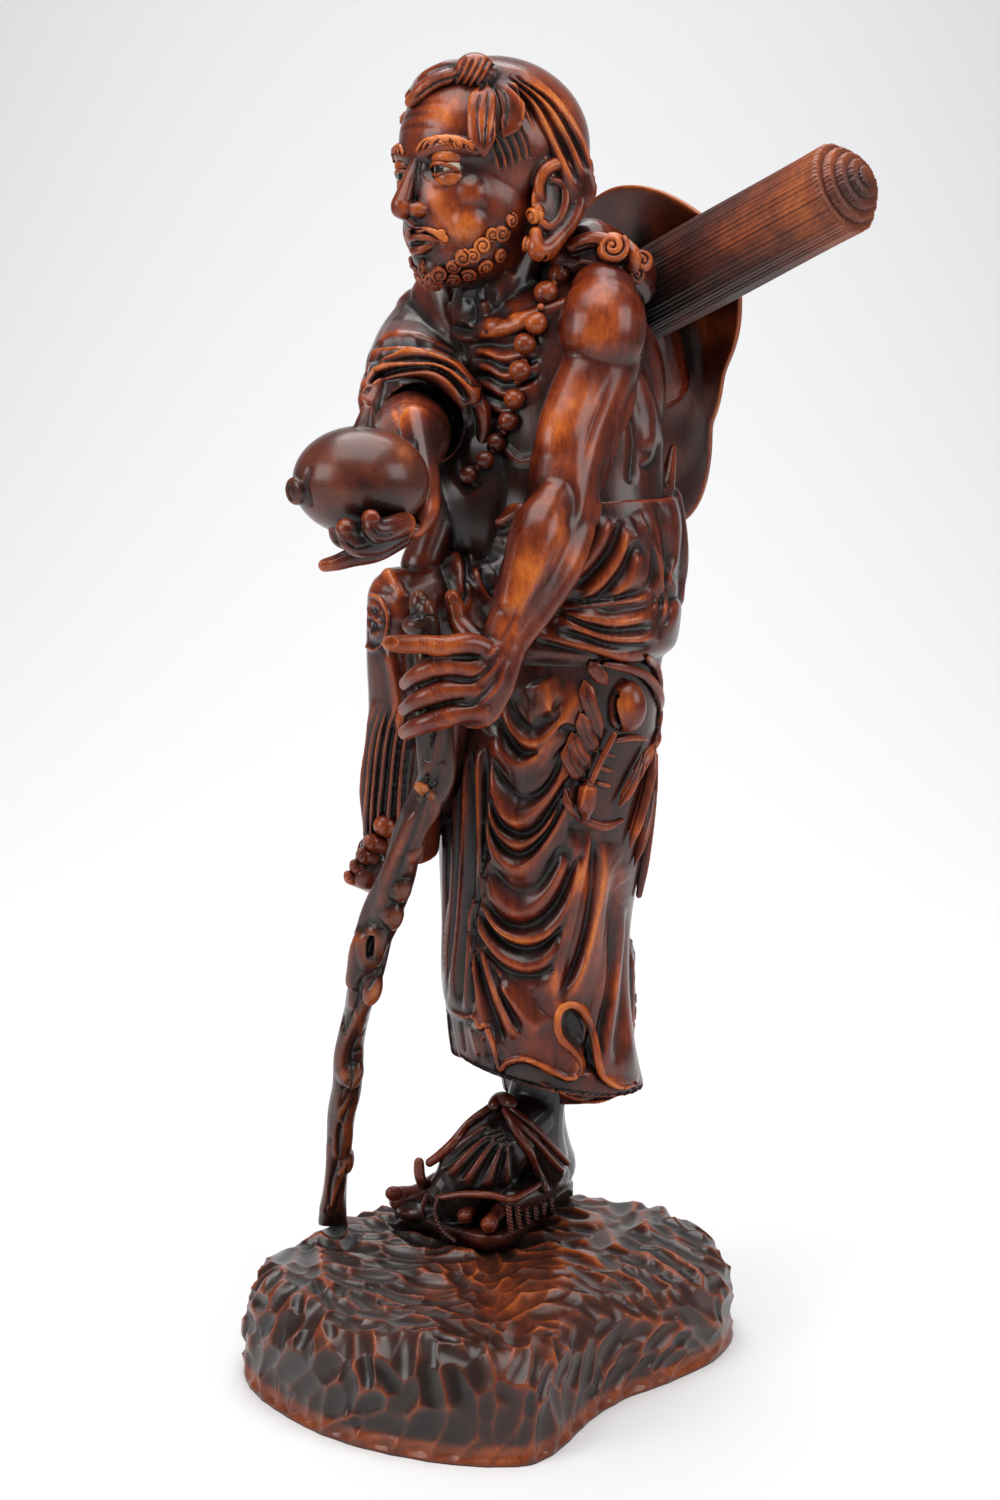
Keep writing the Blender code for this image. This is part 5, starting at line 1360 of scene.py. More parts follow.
def skirt_region():
    """The long skirt: hanging folds, the curled outer hem and the plainer layer under it."""
    parts = [
        stack([(448, 662, 640, 636, 33, 1.13), (442, 657, 700, 700, 35, 1.1), (439, 650, 780, 780, 37, 1.05),
               (439, 643, 850, 850, 39, 1.0), (442, 631, 920, 920, 41, 1.0), (441, 629, 975, 985, 42, 1.0),
               (446, 634, 1006, 1040, 42, 1.0), (449, 642, 1030, 1076, 43, 1.0), (452, 644, 1046, 1084, 43, 1.0)]),
        limb([(565, 960, 60, 70, 0.75), (564, 1040, 64, 70, 0.75), (563, 1090, 64, 62, 0.75)], rounded=(1.0, 0.15)),
        limb([(474, 960, 36, 30), (475, 1020, 36, 29), (476, 1052, 36, 26)], rounded=(1.0, 0.15)),
        limb([(506, 1010, 18, 30), (506, 1046, 17, 26), (506, 1066, 17, 14)], rounded=(1.0, 0.2)),
        limb([(540, 1020, 20, 44), (542, 1056, 20, 40), (544, 1074, 20, 30)], rounded=(1.0, 0.2)),
    ]
    made = skin("skirt", parts, 0.86, 7)
    drape(made, SKIRT_CRESTS, SKIRT_VALLEYS, 20.0, 1.4)
    below = HEM + HEM_CURL[8:] + ((652, 1076), (656, 1130), (480, 1130), (436, 1080), (430, 1000))
    recess(made, below, 3.8, 3.0)
    recess(made, ((574, 1078),) + HEM_CURL[1:12] + ((592, 1074),), 4.5, 11.0)
    carve(made, [(5, 1.2, HEM),
                 (4, -1.0, ((461, 1022), (465, 1052))), (4, 0.9, ((472, 1030), (478, 1056))),
                 (4, -0.9, ((484, 1040), (490, 1062))), (4, 0.9, ((540, 1084), (580, 1100), (628, 1104)))], 0.05)
    tree = tree_of(made)
    add_parts(made, [rope(tree, HEM_CURL[:-1], 4.4, 0.0, 0.8, ends=0.4), rope(tree, HEM[6:], 2.8, -0.3, 0.8, ends=0.4)])
    points, normals = points_of(made), normals_of(made)
    middle = at(550, 800, 38)
    turn = np.arctan2(points[:, 1] - middle[1], points[:, 0] - middle[0])
    behind = np.clip((normals[:, 1] - 0.05) / 0.4, 0, 1)
    hang = np.clip((360 - points[:, 2]) / 120, 0.15, 1)
    wave = np.sin(turn * BACK_FOLDS + 0.6 * np.sin(points[:, 2] * 0.022) + 0.5)
    fold = np.where(wave > 0, wave, wave * 1.4)
    set_points(made, points + normals * (BACK_FOLD_DEPTH * behind * hang * fold)[:, None])
    return made


def upper_robe_parts():
    return [
        stack([(452, 676, 506, 498, 33, 1.15), (446, 680, 530, 525, 33, 1.15), (444, 678, 560, 558, 33, 1.15),
               (446, 675, 600, 596, 33, 1.15), (446, 664, 640, 640, 34, 1.12), (446, 658, 680, 680, 34, 1.1)]),
        stack([(450, 670, 612, 594, 33, 1.16), (440, 679, 622, 604, 33, 1.16), (440, 675, 646, 640, 33, 1.16),
               (448, 662, 660, 654, 33, 1.16)]),
        limb([(520, 610, 30, 70, 0.9), (460, 605, 4, 55, 0.9), (405, 612, -14, 38, 0.95), (396, 622, -16, 30)]),
        limb([(400, 600, -12, 33), (402, 650, -8, 36), (406, 720, 0, 38), (402, 790, 8, 42),
              (402, 850, 16, 38)], rounded=(1.0, 0.2)),
        limb([(440, 640, 6, 40), (436, 720, 12, 40), (432, 790, 20, 34), (430, 815, 26, 24)]),
        limb([(400, 830, 22, 22), (382, 852, 8, 24, 0.9), (368, 874, 0, 18, 0.9)]),
        limb([(612, 500, 0, 9), (640, 512, 0, 10), (664, 492, 14, 9), (673, 448, 28, 4)]),
        limb([(668, 500, 20, 14), (676, 560, 26, 13), (668, 620, 30, 10)]),
        limb([(652, 500, 14, 16, 0.8), (660, 560, 18, 20, 0.8), (652, 604, 24, 20, 0.8)]),
    ]


def upper_robe_region():
    """The robe bunched at the waist, the sash, the collar's turned edge and the raised right leg."""
    made = skin("upper_robe", upper_robe_parts(), 0.85, 6)
    crests = [
        (2.0, ((556, 610), (592, 606), (622, 602), (648, 597))),
        (2.0, ((558, 613), (590, 621), (620, 624), (652, 617))),
        (2.2, ((556, 617), (580, 629), (605, 638), (640, 640), (656, 632))),
        (2.0, ((536, 634), (570, 643), (604, 651), (632, 658), (654, 650))),
        (2.4, ((626, 528), (620, 554), (603, 580), (582, 600))),
        (2.2, ((636, 552), (630, 578), (612, 598))),
        (2.4, ((608, 518), (600, 540), (588, 560), (572, 578))),
        (2.2, ((638, 510), (648, 535), (657, 562), (662, 594), (664, 620))),
        (2.2, ((664, 486), (674, 520), (674, 556), (667, 578), (674, 600), (668, 640))),
        (2.2, ((444, 500), (455, 526), (468, 550), (474, 560))),
        (2.0, ((440, 520), (452, 549), (460, 568), (462, 600))),
        (2.0, ((457, 505), (478, 505), (490, 513), (500, 523), (530, 504))),
        (2.0, ((474, 566), (482, 590), (494, 604), (510, 606))),
        (1.8, ((490, 560), (496, 580), (506, 590))),
        (2.0, ((466, 580), (470, 610), (480, 636))),
    ]
    valleys = [
        (0.9, ((600, 613), (625, 611), (650, 607))),
        (1.4, ((562, 615), (588, 626), (615, 631), (654, 626))),
        (1.2, ((560, 632), (585, 638), (612, 646), (650, 645))),
        (1.9, ((536, 641), (570, 651), (592, 657), (624, 668), (654, 662))),
        (1.6, ((621, 522), (611, 549), (593, 572), (576, 586))),
        (1.4, ((632, 545), (623, 570), (604, 593), (586, 604))),
        (1.7, ((560, 600), (600, 600), (646, 590), (654, 560), (648, 534), (642, 516))),
        (1.5, ((655, 500), (664, 530), (667, 562), (662, 590), (660, 640))),
        (1.2, ((448, 514), (460, 540), (466, 562), (466, 596))),
        (1.4, ((470, 512), (484, 522), (500, 532), (526, 520))),
        (1.4, ((480, 570), (488, 590), (500, 598))),
        (1.6, ((440, 560), (450, 590), (454, 630))),
    ]
    drape(made, crests, valleys, 15.0, 1.4)
    pleats, gaps = [], []
    for top, foot in ((364, 361), (370, 367), (376, 373), (384, 380), (393, 390), (402, 400)):
        pleats.append((1.7, ((top + 12, 700), (top + 3, 740), (top - 1, 780), (foot - 1, 820), (foot, 862))))
        gaps.append((1.6, ((top + 16, 704), (top + 7, 742), (top + 2.5, 780), (foot + 3, 820), (foot + 4, 862))))
    drape(made, pleats, gaps, 8.0, 1.2)
    carve(made, [
        (10, -3.0, ((373, 606), (370, 621), (374, 634))),
        (3.5, 1.6, ((362, 600), (358, 620), (362, 640), (374, 650), (384, 642), (388, 618), (382, 602), (372, 596),
                    (362, 600))),
        (3.2, 2.4, ((364, 614), (374, 619), (384, 624))),
        (9, 1.8, ((388, 650), (396, 690), (400, 730))),
        (8, -1.8, ((410, 640), (414, 690), (414, 750))),
        (8, 1.8, ((428, 650), (432, 710), (428, 780))),
        (10, 1.6, ((380, 560), (392, 580), (404, 600))),
    ])
    points, normals = points_of(made), normals_of(made)
    behind = np.clip((normals[:, 1] - 0.05) / 0.4, 0, 1)
    level = points[:, 2] - points[:, 0] * 0.08
    sash = np.clip(1 - np.abs(level - at(560, 626, 33)[2] + 3) / 13, 0, 1)
    wave = np.sin(level * 0.85 + points[:, 0] * 0.03)
    set_points(made, points + normals * (1.2 * behind * np.clip(sash * 3, 0, 1) * wave)[:, None])
    toes = []
    for across, down, depth, size in ((385, 826, -6, 12.5), (372, 843, -6, 10), (364, 856, -6, 9.2),
                                      (357, 867, -4, 8.6), (351, 878, -2, 8.0)):
        toes.append(limb([(across + 20, down + 7, depth + 13, size * 1.1),
                          (across + 9, down + 3, depth + 5, size), (across, down, depth, size * 0.95)]))
        toes.append(ball(at(across - 3, down - 2, depth - 3), (2.2, 1.8, 2.4), None, 2))
    return add_parts(made, toes)


def waist_region(tree):
    """The wooden bell with its slit, the mallet, the leaf and the brush leaves that hang from the sash."""
    bell = touch(tree, 624, 706, 2.0)
    deep = bell[1]
    parts = [
        ball(bell, (9.0, 8.0, 12.0), None, 5),
        limb([(624, 716, deep, 17, 0.9), (622, 700, deep, 15, 0.9), (620, 684, deep + 1, 8),
              (619, 676, deep + 2, 4)]),
        rope(tree, ((609, 733), (598, 756), (587, 782)), 3.6, 4.6, ends=0.9),
        rope(tree, ((586, 782), (583, 796), (581, 813)), 10, 3.4, ends=0.5),
        rope(tree, ((604, 664), (620, 667), (640, 674), (653, 690), (659, 712)), 5.0, 2.4, 0.7, ends=0.7),
        rope(tree, ((646, 656), (654, 670), (657, 694)), 4.5, 1.6, 0.7, ends=0.7),
        rope(tree, ((590, 662), (596, 672), (606, 684)), 8, 1.0, 0.5, ends=0.3),
        rope(tree, ((660, 712), (656, 730), (652, 746)), 5, 1.6, 0.8, ends=0.7),
        rope(tree, ((648, 742), (632, 772), (614, 807)), 6.5, 3.2, 0.5, ends=0.15),
        rope(tree, ((651, 746), (640, 796), (625, 848)), 7, 2.4, 0.5, ends=0.15),
        rope(tree, ((654, 750), (647, 810), (631, 868)), 6, 1.4, 0.5, ends=0.15),
        rope(tree, ((655, 756), (649, 828), (639, 896)), 6, 0.8, 0.5, ends=0.6),
        rope(tree, ((566, 790), (569, 806), (584, 820), (604, 827), (622, 820)), 5, 0.8, 0.7, ends=0.4),
        rope(tree, ((610, 742), (628, 738), (646, 740)), 4, 1.0, 0.8, ends=0.5),
    ]
    for blade in (((583, 680), (588, 706), (600, 738)), ((579, 712), (585, 736), (596, 752)),
                  ((571, 732), (577, 752), (589, 768)), ((566, 744), (571, 764), (583, 780))):
        parts.append(rope(tree, blade, 8.5, 1.6, 0.45, ends=0.15))
    for i in range(3):
        parts.append(rope(tree, ((601 - 3 * i, 753 + 15 * i), (612 - 2 * i, 756 + 15 * i)), 3, 1.0, ends=0.7))
    made = skin("waist_items", parts, 0.5, 3)
    lines = [(4.2, -4.0, ((615, 690), (613, 708), (620, 732))), (5, -2.0, ((616, 691), (616, 695), (616, 699))),
             (2.5, 0.6, ((587, 784), (584, 796), (581, 810)))]
    for shift in (0, 4):
        lines.append((1.8, -0.6, ((644 - shift, 752), (634 - shift, 780), (619 - shift, 806))))
        lines.append((1.8, -0.6, ((648 - shift, 760), (640 - shift, 800), (628 - shift, 844))))
    for blade in (((585, 684), (590, 706), (600, 734)), ((581, 716), (587, 736), (595, 749)),
                  ((573, 736), (579, 752), (588, 764)), ((568, 748), (573, 764), (581, 776))):
        lines.append((1.6, -0.5, blade))
    return carve(made, lines)


# The load on the back

MAT_OUTER = at(846, 187, -26)
MAT_INNER = at(640, 300, 56)
MAT_STEPS = ((20.0, 0.0), (16.2, 4.2), (12.4, 7.6), (8.2, 10.2), (4.2, 11.6))


def mat_region(sizes):
    """The rolled mat: a spiral of split cane with fine lengthwise lines and a stepped end."""
    way = unit(MAT_INNER - MAT_OUTER)
    length = sizes.mat_length / SHARE
    side = unit(np.cross(way, [0, 0, 1]))
    up = np.cross(side, way)
    parts = []
    for k, (radius, out) in enumerate(MAT_STEPS):
        outer = k == 0
        count = 640 if outer else 320
        turns = np.arange(count) / count * math.tau
        canes = sizes.mat_canes if outer else int(3.4 * radius)
        lines = (0.5 + 0.2 * np.sin(turns * 17)) * np.abs(np.sin(turns * canes / 2)) ** 0.6
        seam = 0.9 * np.exp(-(((turns - 2.1) / 0.025) ** 2)) if outer else 0.0
        coil = radius + 1.2 * (turns / math.tau - 0.5) + lines - seam
        places = (0, 0.6, out * 0.5 + 3, length * 0.5)
        if outer:
            places = [0, 0.7, 3, *np.linspace(14, length + out - 3, 14), length + out]
        rings = []
        for j, along in enumerate(places):
            trim = 0.93 if j == 0 or (outer and j == len(places) - 1) else 1.0
            sag = 0.25 * np.sin(along * 0.05 + turns * 2)
            spot = MAT_OUTER - way * out + way * along
            reach = (coil + sag) * trim
            rings.append(spot + np.outer(np.cos(turns) * reach, side) + np.outer(np.sin(turns) * reach, up))
        parts.append(shell(rings[::-1]))
    return turned_out(as_object("mat", parts))


HAT_MIDDLE = at(648, 358, 90)
HAT_OUT = np.array([0.70, 0.65, 0.28])
HAT_RADIUS = 74.0
HAT_RIM = ((590, 203), (612, 188), (645, 187), (680, 202), (708, 225), (730, 262), (735, 310), (724, 372), (709, 428),
           (706, 466), (690, 515), (668, 532))


def turned_out(made):
    """Turns every face of a closed form outwards."""
    select_only(made)
    bpy.ops.object.mode_set(mode="EDIT")
    bpy.ops.mesh.select_all(action="SELECT")
    bpy.ops.mesh.normals_make_consistent(inside=False)
    bpy.ops.object.mode_set(mode="OBJECT")
    return made


def numbers_of(rows, field, count):
    """Three numbers for each of a mesh's vertices."""
    flat = np.empty(count * 3, np.float32)
    rows.foreach_get(field, flat)
    return flat.reshape(-1, 3).astype(float)


def hat_region(sizes):
    """The round hat with its thin wavy brim, hollow towards the back."""
    out = unit(HAT_OUT)
    across = unit(np.cross(out, [0, 0, 1]))
    up = np.cross(across, out)
    angles, reach = [2.6, 3.1, 3.6, 4.1], [HAT_RADIUS] * 4
    for spot in HAT_RIM:
        way = at(*spot, 0) - VIEW_FROM
        arm = VIEW_FROM + way * ((HAT_MIDDLE - VIEW_FROM) @ out) / (way @ out) - HAT_MIDDLE
        angles.append(math.atan2(arm @ up, arm @ across))
        reach.append(np.linalg.norm(arm))
    turns = np.arange(200) / 200 * math.tau
    brim = np.interp(turns, angles, reach, period=math.tau)
    for _ in range(12):
        brim = (np.roll(brim, 1) + 2 * brim + np.roll(brim, -1)) / 4
    spin = np.outer(np.cos(turns), across) + np.outer(np.sin(turns), up)
    profile = [(s, 0.0) for s in np.linspace(0.03, 0.985, 46)] + [(1.0, 0.6), (1.003, 1.6), (1.0, 2.6)]
    profile += [(s, 4.2 - 1.2 * s**3) for s in np.linspace(0.985, 0.03, 46)]
    rings = []
    for share, inset in profile:
        bowl = sizes.hat_depth / SHARE * (1 - share**2) + inset + 2.0 * share**3 * np.sin(3 * turns)
        bowl = bowl + 0.5 * np.sin(turns * 5 + share * 6) * share**2 + 0.3 * np.sin(share * 19 + 2 * np.sin(turns * 2))
        rings.append(HAT_MIDDLE + out * bowl[:, None] + spin * (brim * share)[:, None])
    return turned_out(as_object("hat", [shell(rings)]))


def strap_region():
    """The strap over the shoulder with its knot of rolled ends, and what ties the load to the back."""
    parts = [
        limb([(566, 262, 12, 18), (600, 262, 8, 23), (636, 276, 26, 22), (650, 300, 48, 24)]),
        limb([(602, 290, 40, 40), (640, 330, 66, 36), (660, 380, 74, 30)]),
        limb([(590, 250, 50, 30), (610, 270, 70, 34), (640, 320, 84, 30)]),
        limb([(574, 246, 0, 8), (594, 240, -4, 8), (612, 244, -6, 8)]),
        limb([(626, 246, -2, 7), (634, 256, -5, 7.5), (633, 268, -3, 7)]),
    ]
    made = skin("strap", parts, 0.66, 3)
    out = np.array([-0.15, -0.95, 0.2])
    knot = at(613, 248, -8)
    coils = [spiral(knot, out, 6.4, 1.9, 1.8, 48, 14, 2.2), ball(knot + (0, 3.4, 0), (7.0, 4.6, 7.0)),
             spiral(at(642, 262, -2), (0.3, -0.9, 0.2), 4.2, 1.5, 1.5, 36, 12, 0.5), ball(at(642, 262, 5), (5, 4, 5)),
             spiral(at(636, 276, -3), (0.2, -0.95, 0.0), 3.2, 1.2, 1.3, 30, 12, 2.5), ball(at(636, 276, 4), (4, 4, 4))]
    add_parts(made, coils)
    carve(made, [(3, -0.9, ((574, 250), (592, 246), (602, 250))), (3, 0.8, ((576, 262), (594, 264), (612, 266)))])
    return made


# The foot and its sandal


def sole_parts():
    outline = [(-53, 62), (-42, 43), (-24, 25), (-8, 13), (4, 17), (14, 36), (29, 74), (38, 94), (27, 105), (6, 98),
               (-24, 84), (-48, 74)]
    ring = smooth_line(outline + outline[:1], 6)[:-1]
    rings = [np.c_[ring, np.full(len(ring), height)] for height in (SOLE - 3, SOLE + 3, SOLE + 6.5)]
    inner = rings[-1].copy()
    inner[:, :2] = inner[:, :2].mean(0) + (inner[:, :2] - inner[:, :2].mean(0)) * 0.93
    inner[:, 2] += 1.5
    return [shell((rings + [inner])[::-1])]


def cord(line, size, turns):
    """A twisted cord: two strands that wind round each other along the line."""
    line = smooth_line(line, 10)
    ways = unit_rows(np.gradient(line, axis=0))
    side = unit_rows(np.cross(ways, [0.1, 0.2, 0.97]))
    up = np.cross(side, ways)
    thick = np.full(len(line), size * 0.62)
    parts = []
    for strand_turn in (0, math.pi):
        angle = (np.linspace(0, turns * math.tau, len(line)) + strand_turn)[:, None]
        parts.append(tube(line + (side * np.cos(angle) + up * np.sin(angle)) * size * 0.5, thick, thick, sides=10))
    return parts


def foot_region():
    """The standing foot in its straw sandal, with the straps, the twisted side cords and the toes."""
    line = smooth_line([(19, 60, 112), (20, 66, 96), (22, 76, 80), (24, 85, 68), (25, 90, 60)], 5)
    half = smooth_line([(13, 13), (13, 13), (14, 15), (15, 15), (12, 9)], 5)
    heel = tube(line, half[:, 0], half[:, 1], (0.0, 0.3, 1.0), 24)
    line = smooth_line([(26, 90, 63), (16, 79, 66), (4, 69, 67), (-10, 61, 64), (-24, 55, 60), (-38, 52, 58)], 5)
    half = smooth_line([(12, 11), (17, 15), (19, 16), (19, 13), (18, 9), (14, 7)], 5)
    side = tube(line, half[:, 0], half[:, 1], (0.0, 0.0, 1.0), 24)
    parts = sole_parts() + [
        limb([(548, 1040, 56, 34, 0.9), (538, 1090, 54, 30, 0.9), (532, 1130, 52, 33, 0.95), (536, 1160, 60, 34)]),
        limb([(528, 1118, 48, 30), (500, 1145, 40, 36, 0.95), (476, 1172, 34, 37, 0.8), (460, 1192, 32, 33, 0.6)]),
        heel,
        side,
        limb([(512, 1200, 30, 18, 0.9), (528, 1192, 46, 20, 0.9), (552, 1176, 72, 20, 0.9)]),
    ]
    made = skin("foot", parts, 0.62, 5)
    tendons, gaps = [], []
    for i, foot in enumerate(((432, 1166), (448, 1176), (464, 1185), (486, 1189), (506, 1188))):
        start = (493 + 3.4 * i, 1124 + 4 * i)
        tendons.append((1.9, (start, ((start[0] + foot[0]) / 2, (start[1] + foot[1]) / 2 - 2), foot)))
        gap = (foot[0] + 10, foot[1] + 4)
        gaps.append((1.6, ((start[0] + 4, start[1] + 6), ((start[0] + gap[0]) / 2 + 2, (start[1] + gap[1]) / 2), gap)))
    drape(made, tendons, gaps, 9.0, 1.2)
    tree = tree_of(made)
    toes = [limb([(440, 1186, 42, 15, 0.9), (418, 1196, 50, 12, 0.9), (402, 1200, 54, 14, 0.95)]),
            ball(at(394, 1194, 42), (4.4, 2.2, 3.8), None, 3)]
    for across, down, depth, size in ((447, 1206, 30, 7.5), (465, 1216, 21, 8.5), (489, 1225, 13, 9.0)):
        toes.append(limb([(across + 12, down - 16, depth + 14, size),
                          (across + 5, down - 7, depth + 6, size * 0.85), (across, down, depth, size)]))
        toes.append(ball(at(across - 1, down + 1, depth - 4), (2.6, 1.6, 2.4), None, 2))
    straps = [
        rope(tree, ((508, 1108), (534, 1128), (566, 1163)), 4.2, 0.8, ends=0.9),
        rope(tree, ((506, 1113), (530, 1136), (560, 1170)), 4.2, 0.8, ends=0.9),
        rope(tree, ((506, 1112), (517, 1133), (529, 1154), (539, 1176), (543, 1190)), 5.4, 0.8, ends=0.9),
        rope(tree, ((492, 1109), (470, 1126), (452, 1147), (430, 1163)), 5.6, 0.8, ends=0.9),
        rope(tree, ((419, 1163), (420, 1178), (428, 1194)), 6.0, 0.8, ends=0.9),
        rope(tree, ((496, 1108), (502, 1102), (511, 1106)), 9.0, 1.2, ends=0.9),
        limb([(438, 1199, 24, 4), (464, 1195, 20, 4), (492, 1196, 15, 4), (510, 1200, 14, 4),
              (526, 1193, 27, 4), (540, 1184, 42, 4)]),
    ]
    add_parts(made, [joined([part]) for part in toes + straps])
    cords = []
    for i in range(6):
        top = at(508 + 8.2 * i, 1204 - 4.1 * i, 14 + 8.5 * i)
        foot = at(511 + 8.0 * i, 1233 - 4.6 * i, 14 + 8.5 * i)
        cords += cord([top, (top + foot) / 2 + (0, -0.8, 0), foot], 1.45, 4)
    cords += cord([at(427, 1195, 22), at(423, 1206, 22), at(424, 1219, 26)], 1.1, 4)
    cords += cord([at(438, 1199, 22), at(435, 1213, 20), at(443, 1231, 18), at(455, 1242, 16)], 1.1, 7)
    add_parts(made, cords)
    return raised_to(made, SOLE)


# The staff

STAFF_LINE = ((424, 612, -46), (428, 640, -46), (433, 690, -46), (436, 745, -44), (433, 785, -40), (410, 832, -33),
              (401, 865, -28), (388, 897, -22), (374, 937, -14), (366, 976, -6), (357, 1014, 3), (349, 1054, 12),
              (346, 1091, 21), (341, 1121, 28), (337, 1164, 38), (334, 1198, 46), (333, 1221, 51))
STAFF_HALF = (0.86, 0.95, 1.0, 1.05, 1.1, 1.06, 1.1, 1.12, 1.08, 1.04, 0.96, 0.92, 0.88, 0.86, 0.86, 0.88, 0.92)


def staff_region(sizes):
    """The twisted staff with its knotted head, side stub, burls, a knot hole and spiral ridges."""
    rows = [(*at(*spot), sizes.staff_thickness / SHARE / 2 * share) for spot, share in zip(STAFF_LINE, STAFF_HALF)]
    line = smooth_line(rows, 8)
    sides = 40
    base, _ = tube(line[:, :3], line[:, 3], line[:, 3], sides=sides)
    middles = np.concatenate([line[:1, :3]] * 4 + [line[:, :3]] + [line[-1:, :3]] * 4)
    rings = base[:-2].reshape(-1, sides, 3)
    turns = np.arange(sides) / sides * math.tau
    for i, ring in enumerate(rings):
        twist = 1 + 0.12 * np.sin(2 * turns - i * 0.17) + 0.05 * np.sin(3 * turns + i * 0.31)
        ring[:] = middles[i] + (ring - middles[i]) * twist[:, None]
    parts = [
        shell(list(rings)),
        ball(at(421, 626, -46), (8.4, 7.6, 5.4)),
        ball(at(419, 605, -46), (4.4, 4.6, 6.4)),
        limb([(432, 794, -44, 8), (424, 790, -49, 7), (419, 787, -52, 5.5)]),
        limb([(392, 914, -22, 13, 0.9), (371, 944, -17, 18, 0.85), (360, 980, -8, 14, 0.9)]),
        ball(at(400, 886, -29), (5.6, 5.6, 8)),
        ball(at(392, 914, -25), (5.4, 5.6, 8)),
        ball(at(371, 984, -11), (5.6, 5.8, 10)),
        ball(at(350, 1072, 12), (6.4, 6, 8)),
        ball(at(343, 1160, 35), (5.6, 6, 8)),
        ball(at(408, 848, -34), (6.6, 6, 7)),
    ]
    made = skin("twisted_staff", parts, 0.52, 9)
    ring = [(370 + 10.5 * math.cos(a) + 3 * math.sin(a), 948 + 17 * math.sin(a)) for a in np.linspace(-1.9, 4.3, 14)]
    crests = [
        (1.5, ((432, 640), (440, 680), (440, 720), (434, 756), (424, 782))),
        (1.2, ((421, 650), (424, 690), (428, 730), (432, 760))),
        (1.6, ((424, 784), (434, 806), (431, 830), (414, 856), (406, 880))),
        (1.5, ((412, 812), (402, 842), (390, 872), (384, 900), (376, 922))),
        (1.3, tuple(ring)),
        (1.6, ((358, 926), (352, 944), (349, 974), (351, 1000), (360, 1024), (358, 1050))),
        (1.6, ((376, 970), (374, 990), (362, 1012), (346, 1040), (341, 1062), (346, 1084))),
        (1.5, ((360, 1040), (358, 1070), (348, 1096), (338, 1120), (335, 1146), (341, 1166))),
        (1.4, ((338, 1090), (338, 1112), (347, 1134), (347, 1160), (338, 1186), (328, 1212))),
        (1.2, ((332, 1140), (327, 1166), (325, 1192), (322, 1216))),
        (1.2, ((344, 1176), (342, 1196), (342, 1216))),
    ]
    valleys = [
        (1.5, ((428, 652), (432, 690), (434, 726), (428, 756))),
        (1.6, ((440, 770), (424, 800), (416, 826), (404, 858), (394, 884))),
        (1.8, ((384, 924), (390, 942), (382, 966), (368, 990))),
        (1.6, ((362, 980), (358, 1002), (350, 1020), (346, 1030))),
        (1.5, ((368, 1024), (352, 1050), (352, 1084), (342, 1106))),
        (1.4, ((352, 1100), (340, 1130), (338, 1160), (331, 1186), (330, 1214))),
        (1.2, ((348, 1146), (345, 1172), (336, 1200), (334, 1216))),
    ]
    drape(made, [(h * 0.8, p) for h, p in crests], [(h * 0.45, p) for h, p in valleys], 9.0, 0.9, 0.12)
    carve(made, [(4.6, -4.2, ((371, 936), (370, 948), (369, 960))),
                 (2.6, -1.0, ((344, 1012), (343, 1024), (345, 1036))),
                 (2.2, -0.7, ((406, 620), (421, 616), (438, 618))),
                 (2.4, -0.8, ((430, 776), (420, 780), (413, 787)))])
    return raised_to(made, SOLE)


# The plinth

FOOTPRINT = ((-121, -13), (-112, -38), (-89, -69), (-61, -91), (-30, -105), (-4, -110), (14, -107), (27, -92),
             (40, -66), (55, -45), (74, -29), (95, -9), (109, 12), (115, 34), (111, 56), (96, 77), (74, 96),
             (44, 111), (6, 117), (-28, 113), (-58, 97), (-86, 71), (-107, 44), (-119, 16))
PLINTH_HEIGHT = 50.0
PLINTH_SIDES = 680

# How far the uncut land stands above the drawn surface
LAND = 0.6

# The pads that stay flat: how far they reach from the sandal's middle line and the staff's foot, and fade out
SANDAL_PAD, SANDAL_FADE = 42, 12
STAFF_PAD, STAFF_FADE = 13, 10

# The rim: how far in it rounds over, and the shares of the height that stand upright and round over
RIM_ROUND = 15
UPRIGHT = 0.30
RIM_RISE = 0.70


def pad_share(spots):
    """1 where the sandal and the staff stand, fading to 0 around them."""
    away, _ = near_line(spots, np.array([(30.0, 84.0), (-28.0, 40.0)]))
    sandal = np.clip(1 - (away - SANDAL_PAD) / SANDAL_FADE, 0, 1)
    away = np.linalg.norm(spots - at(333, 1221, 51)[:2], axis=1)
    return np.maximum(sandal, np.clip(1 - (away - STAFF_PAD) / STAFF_FADE, 0, 1))


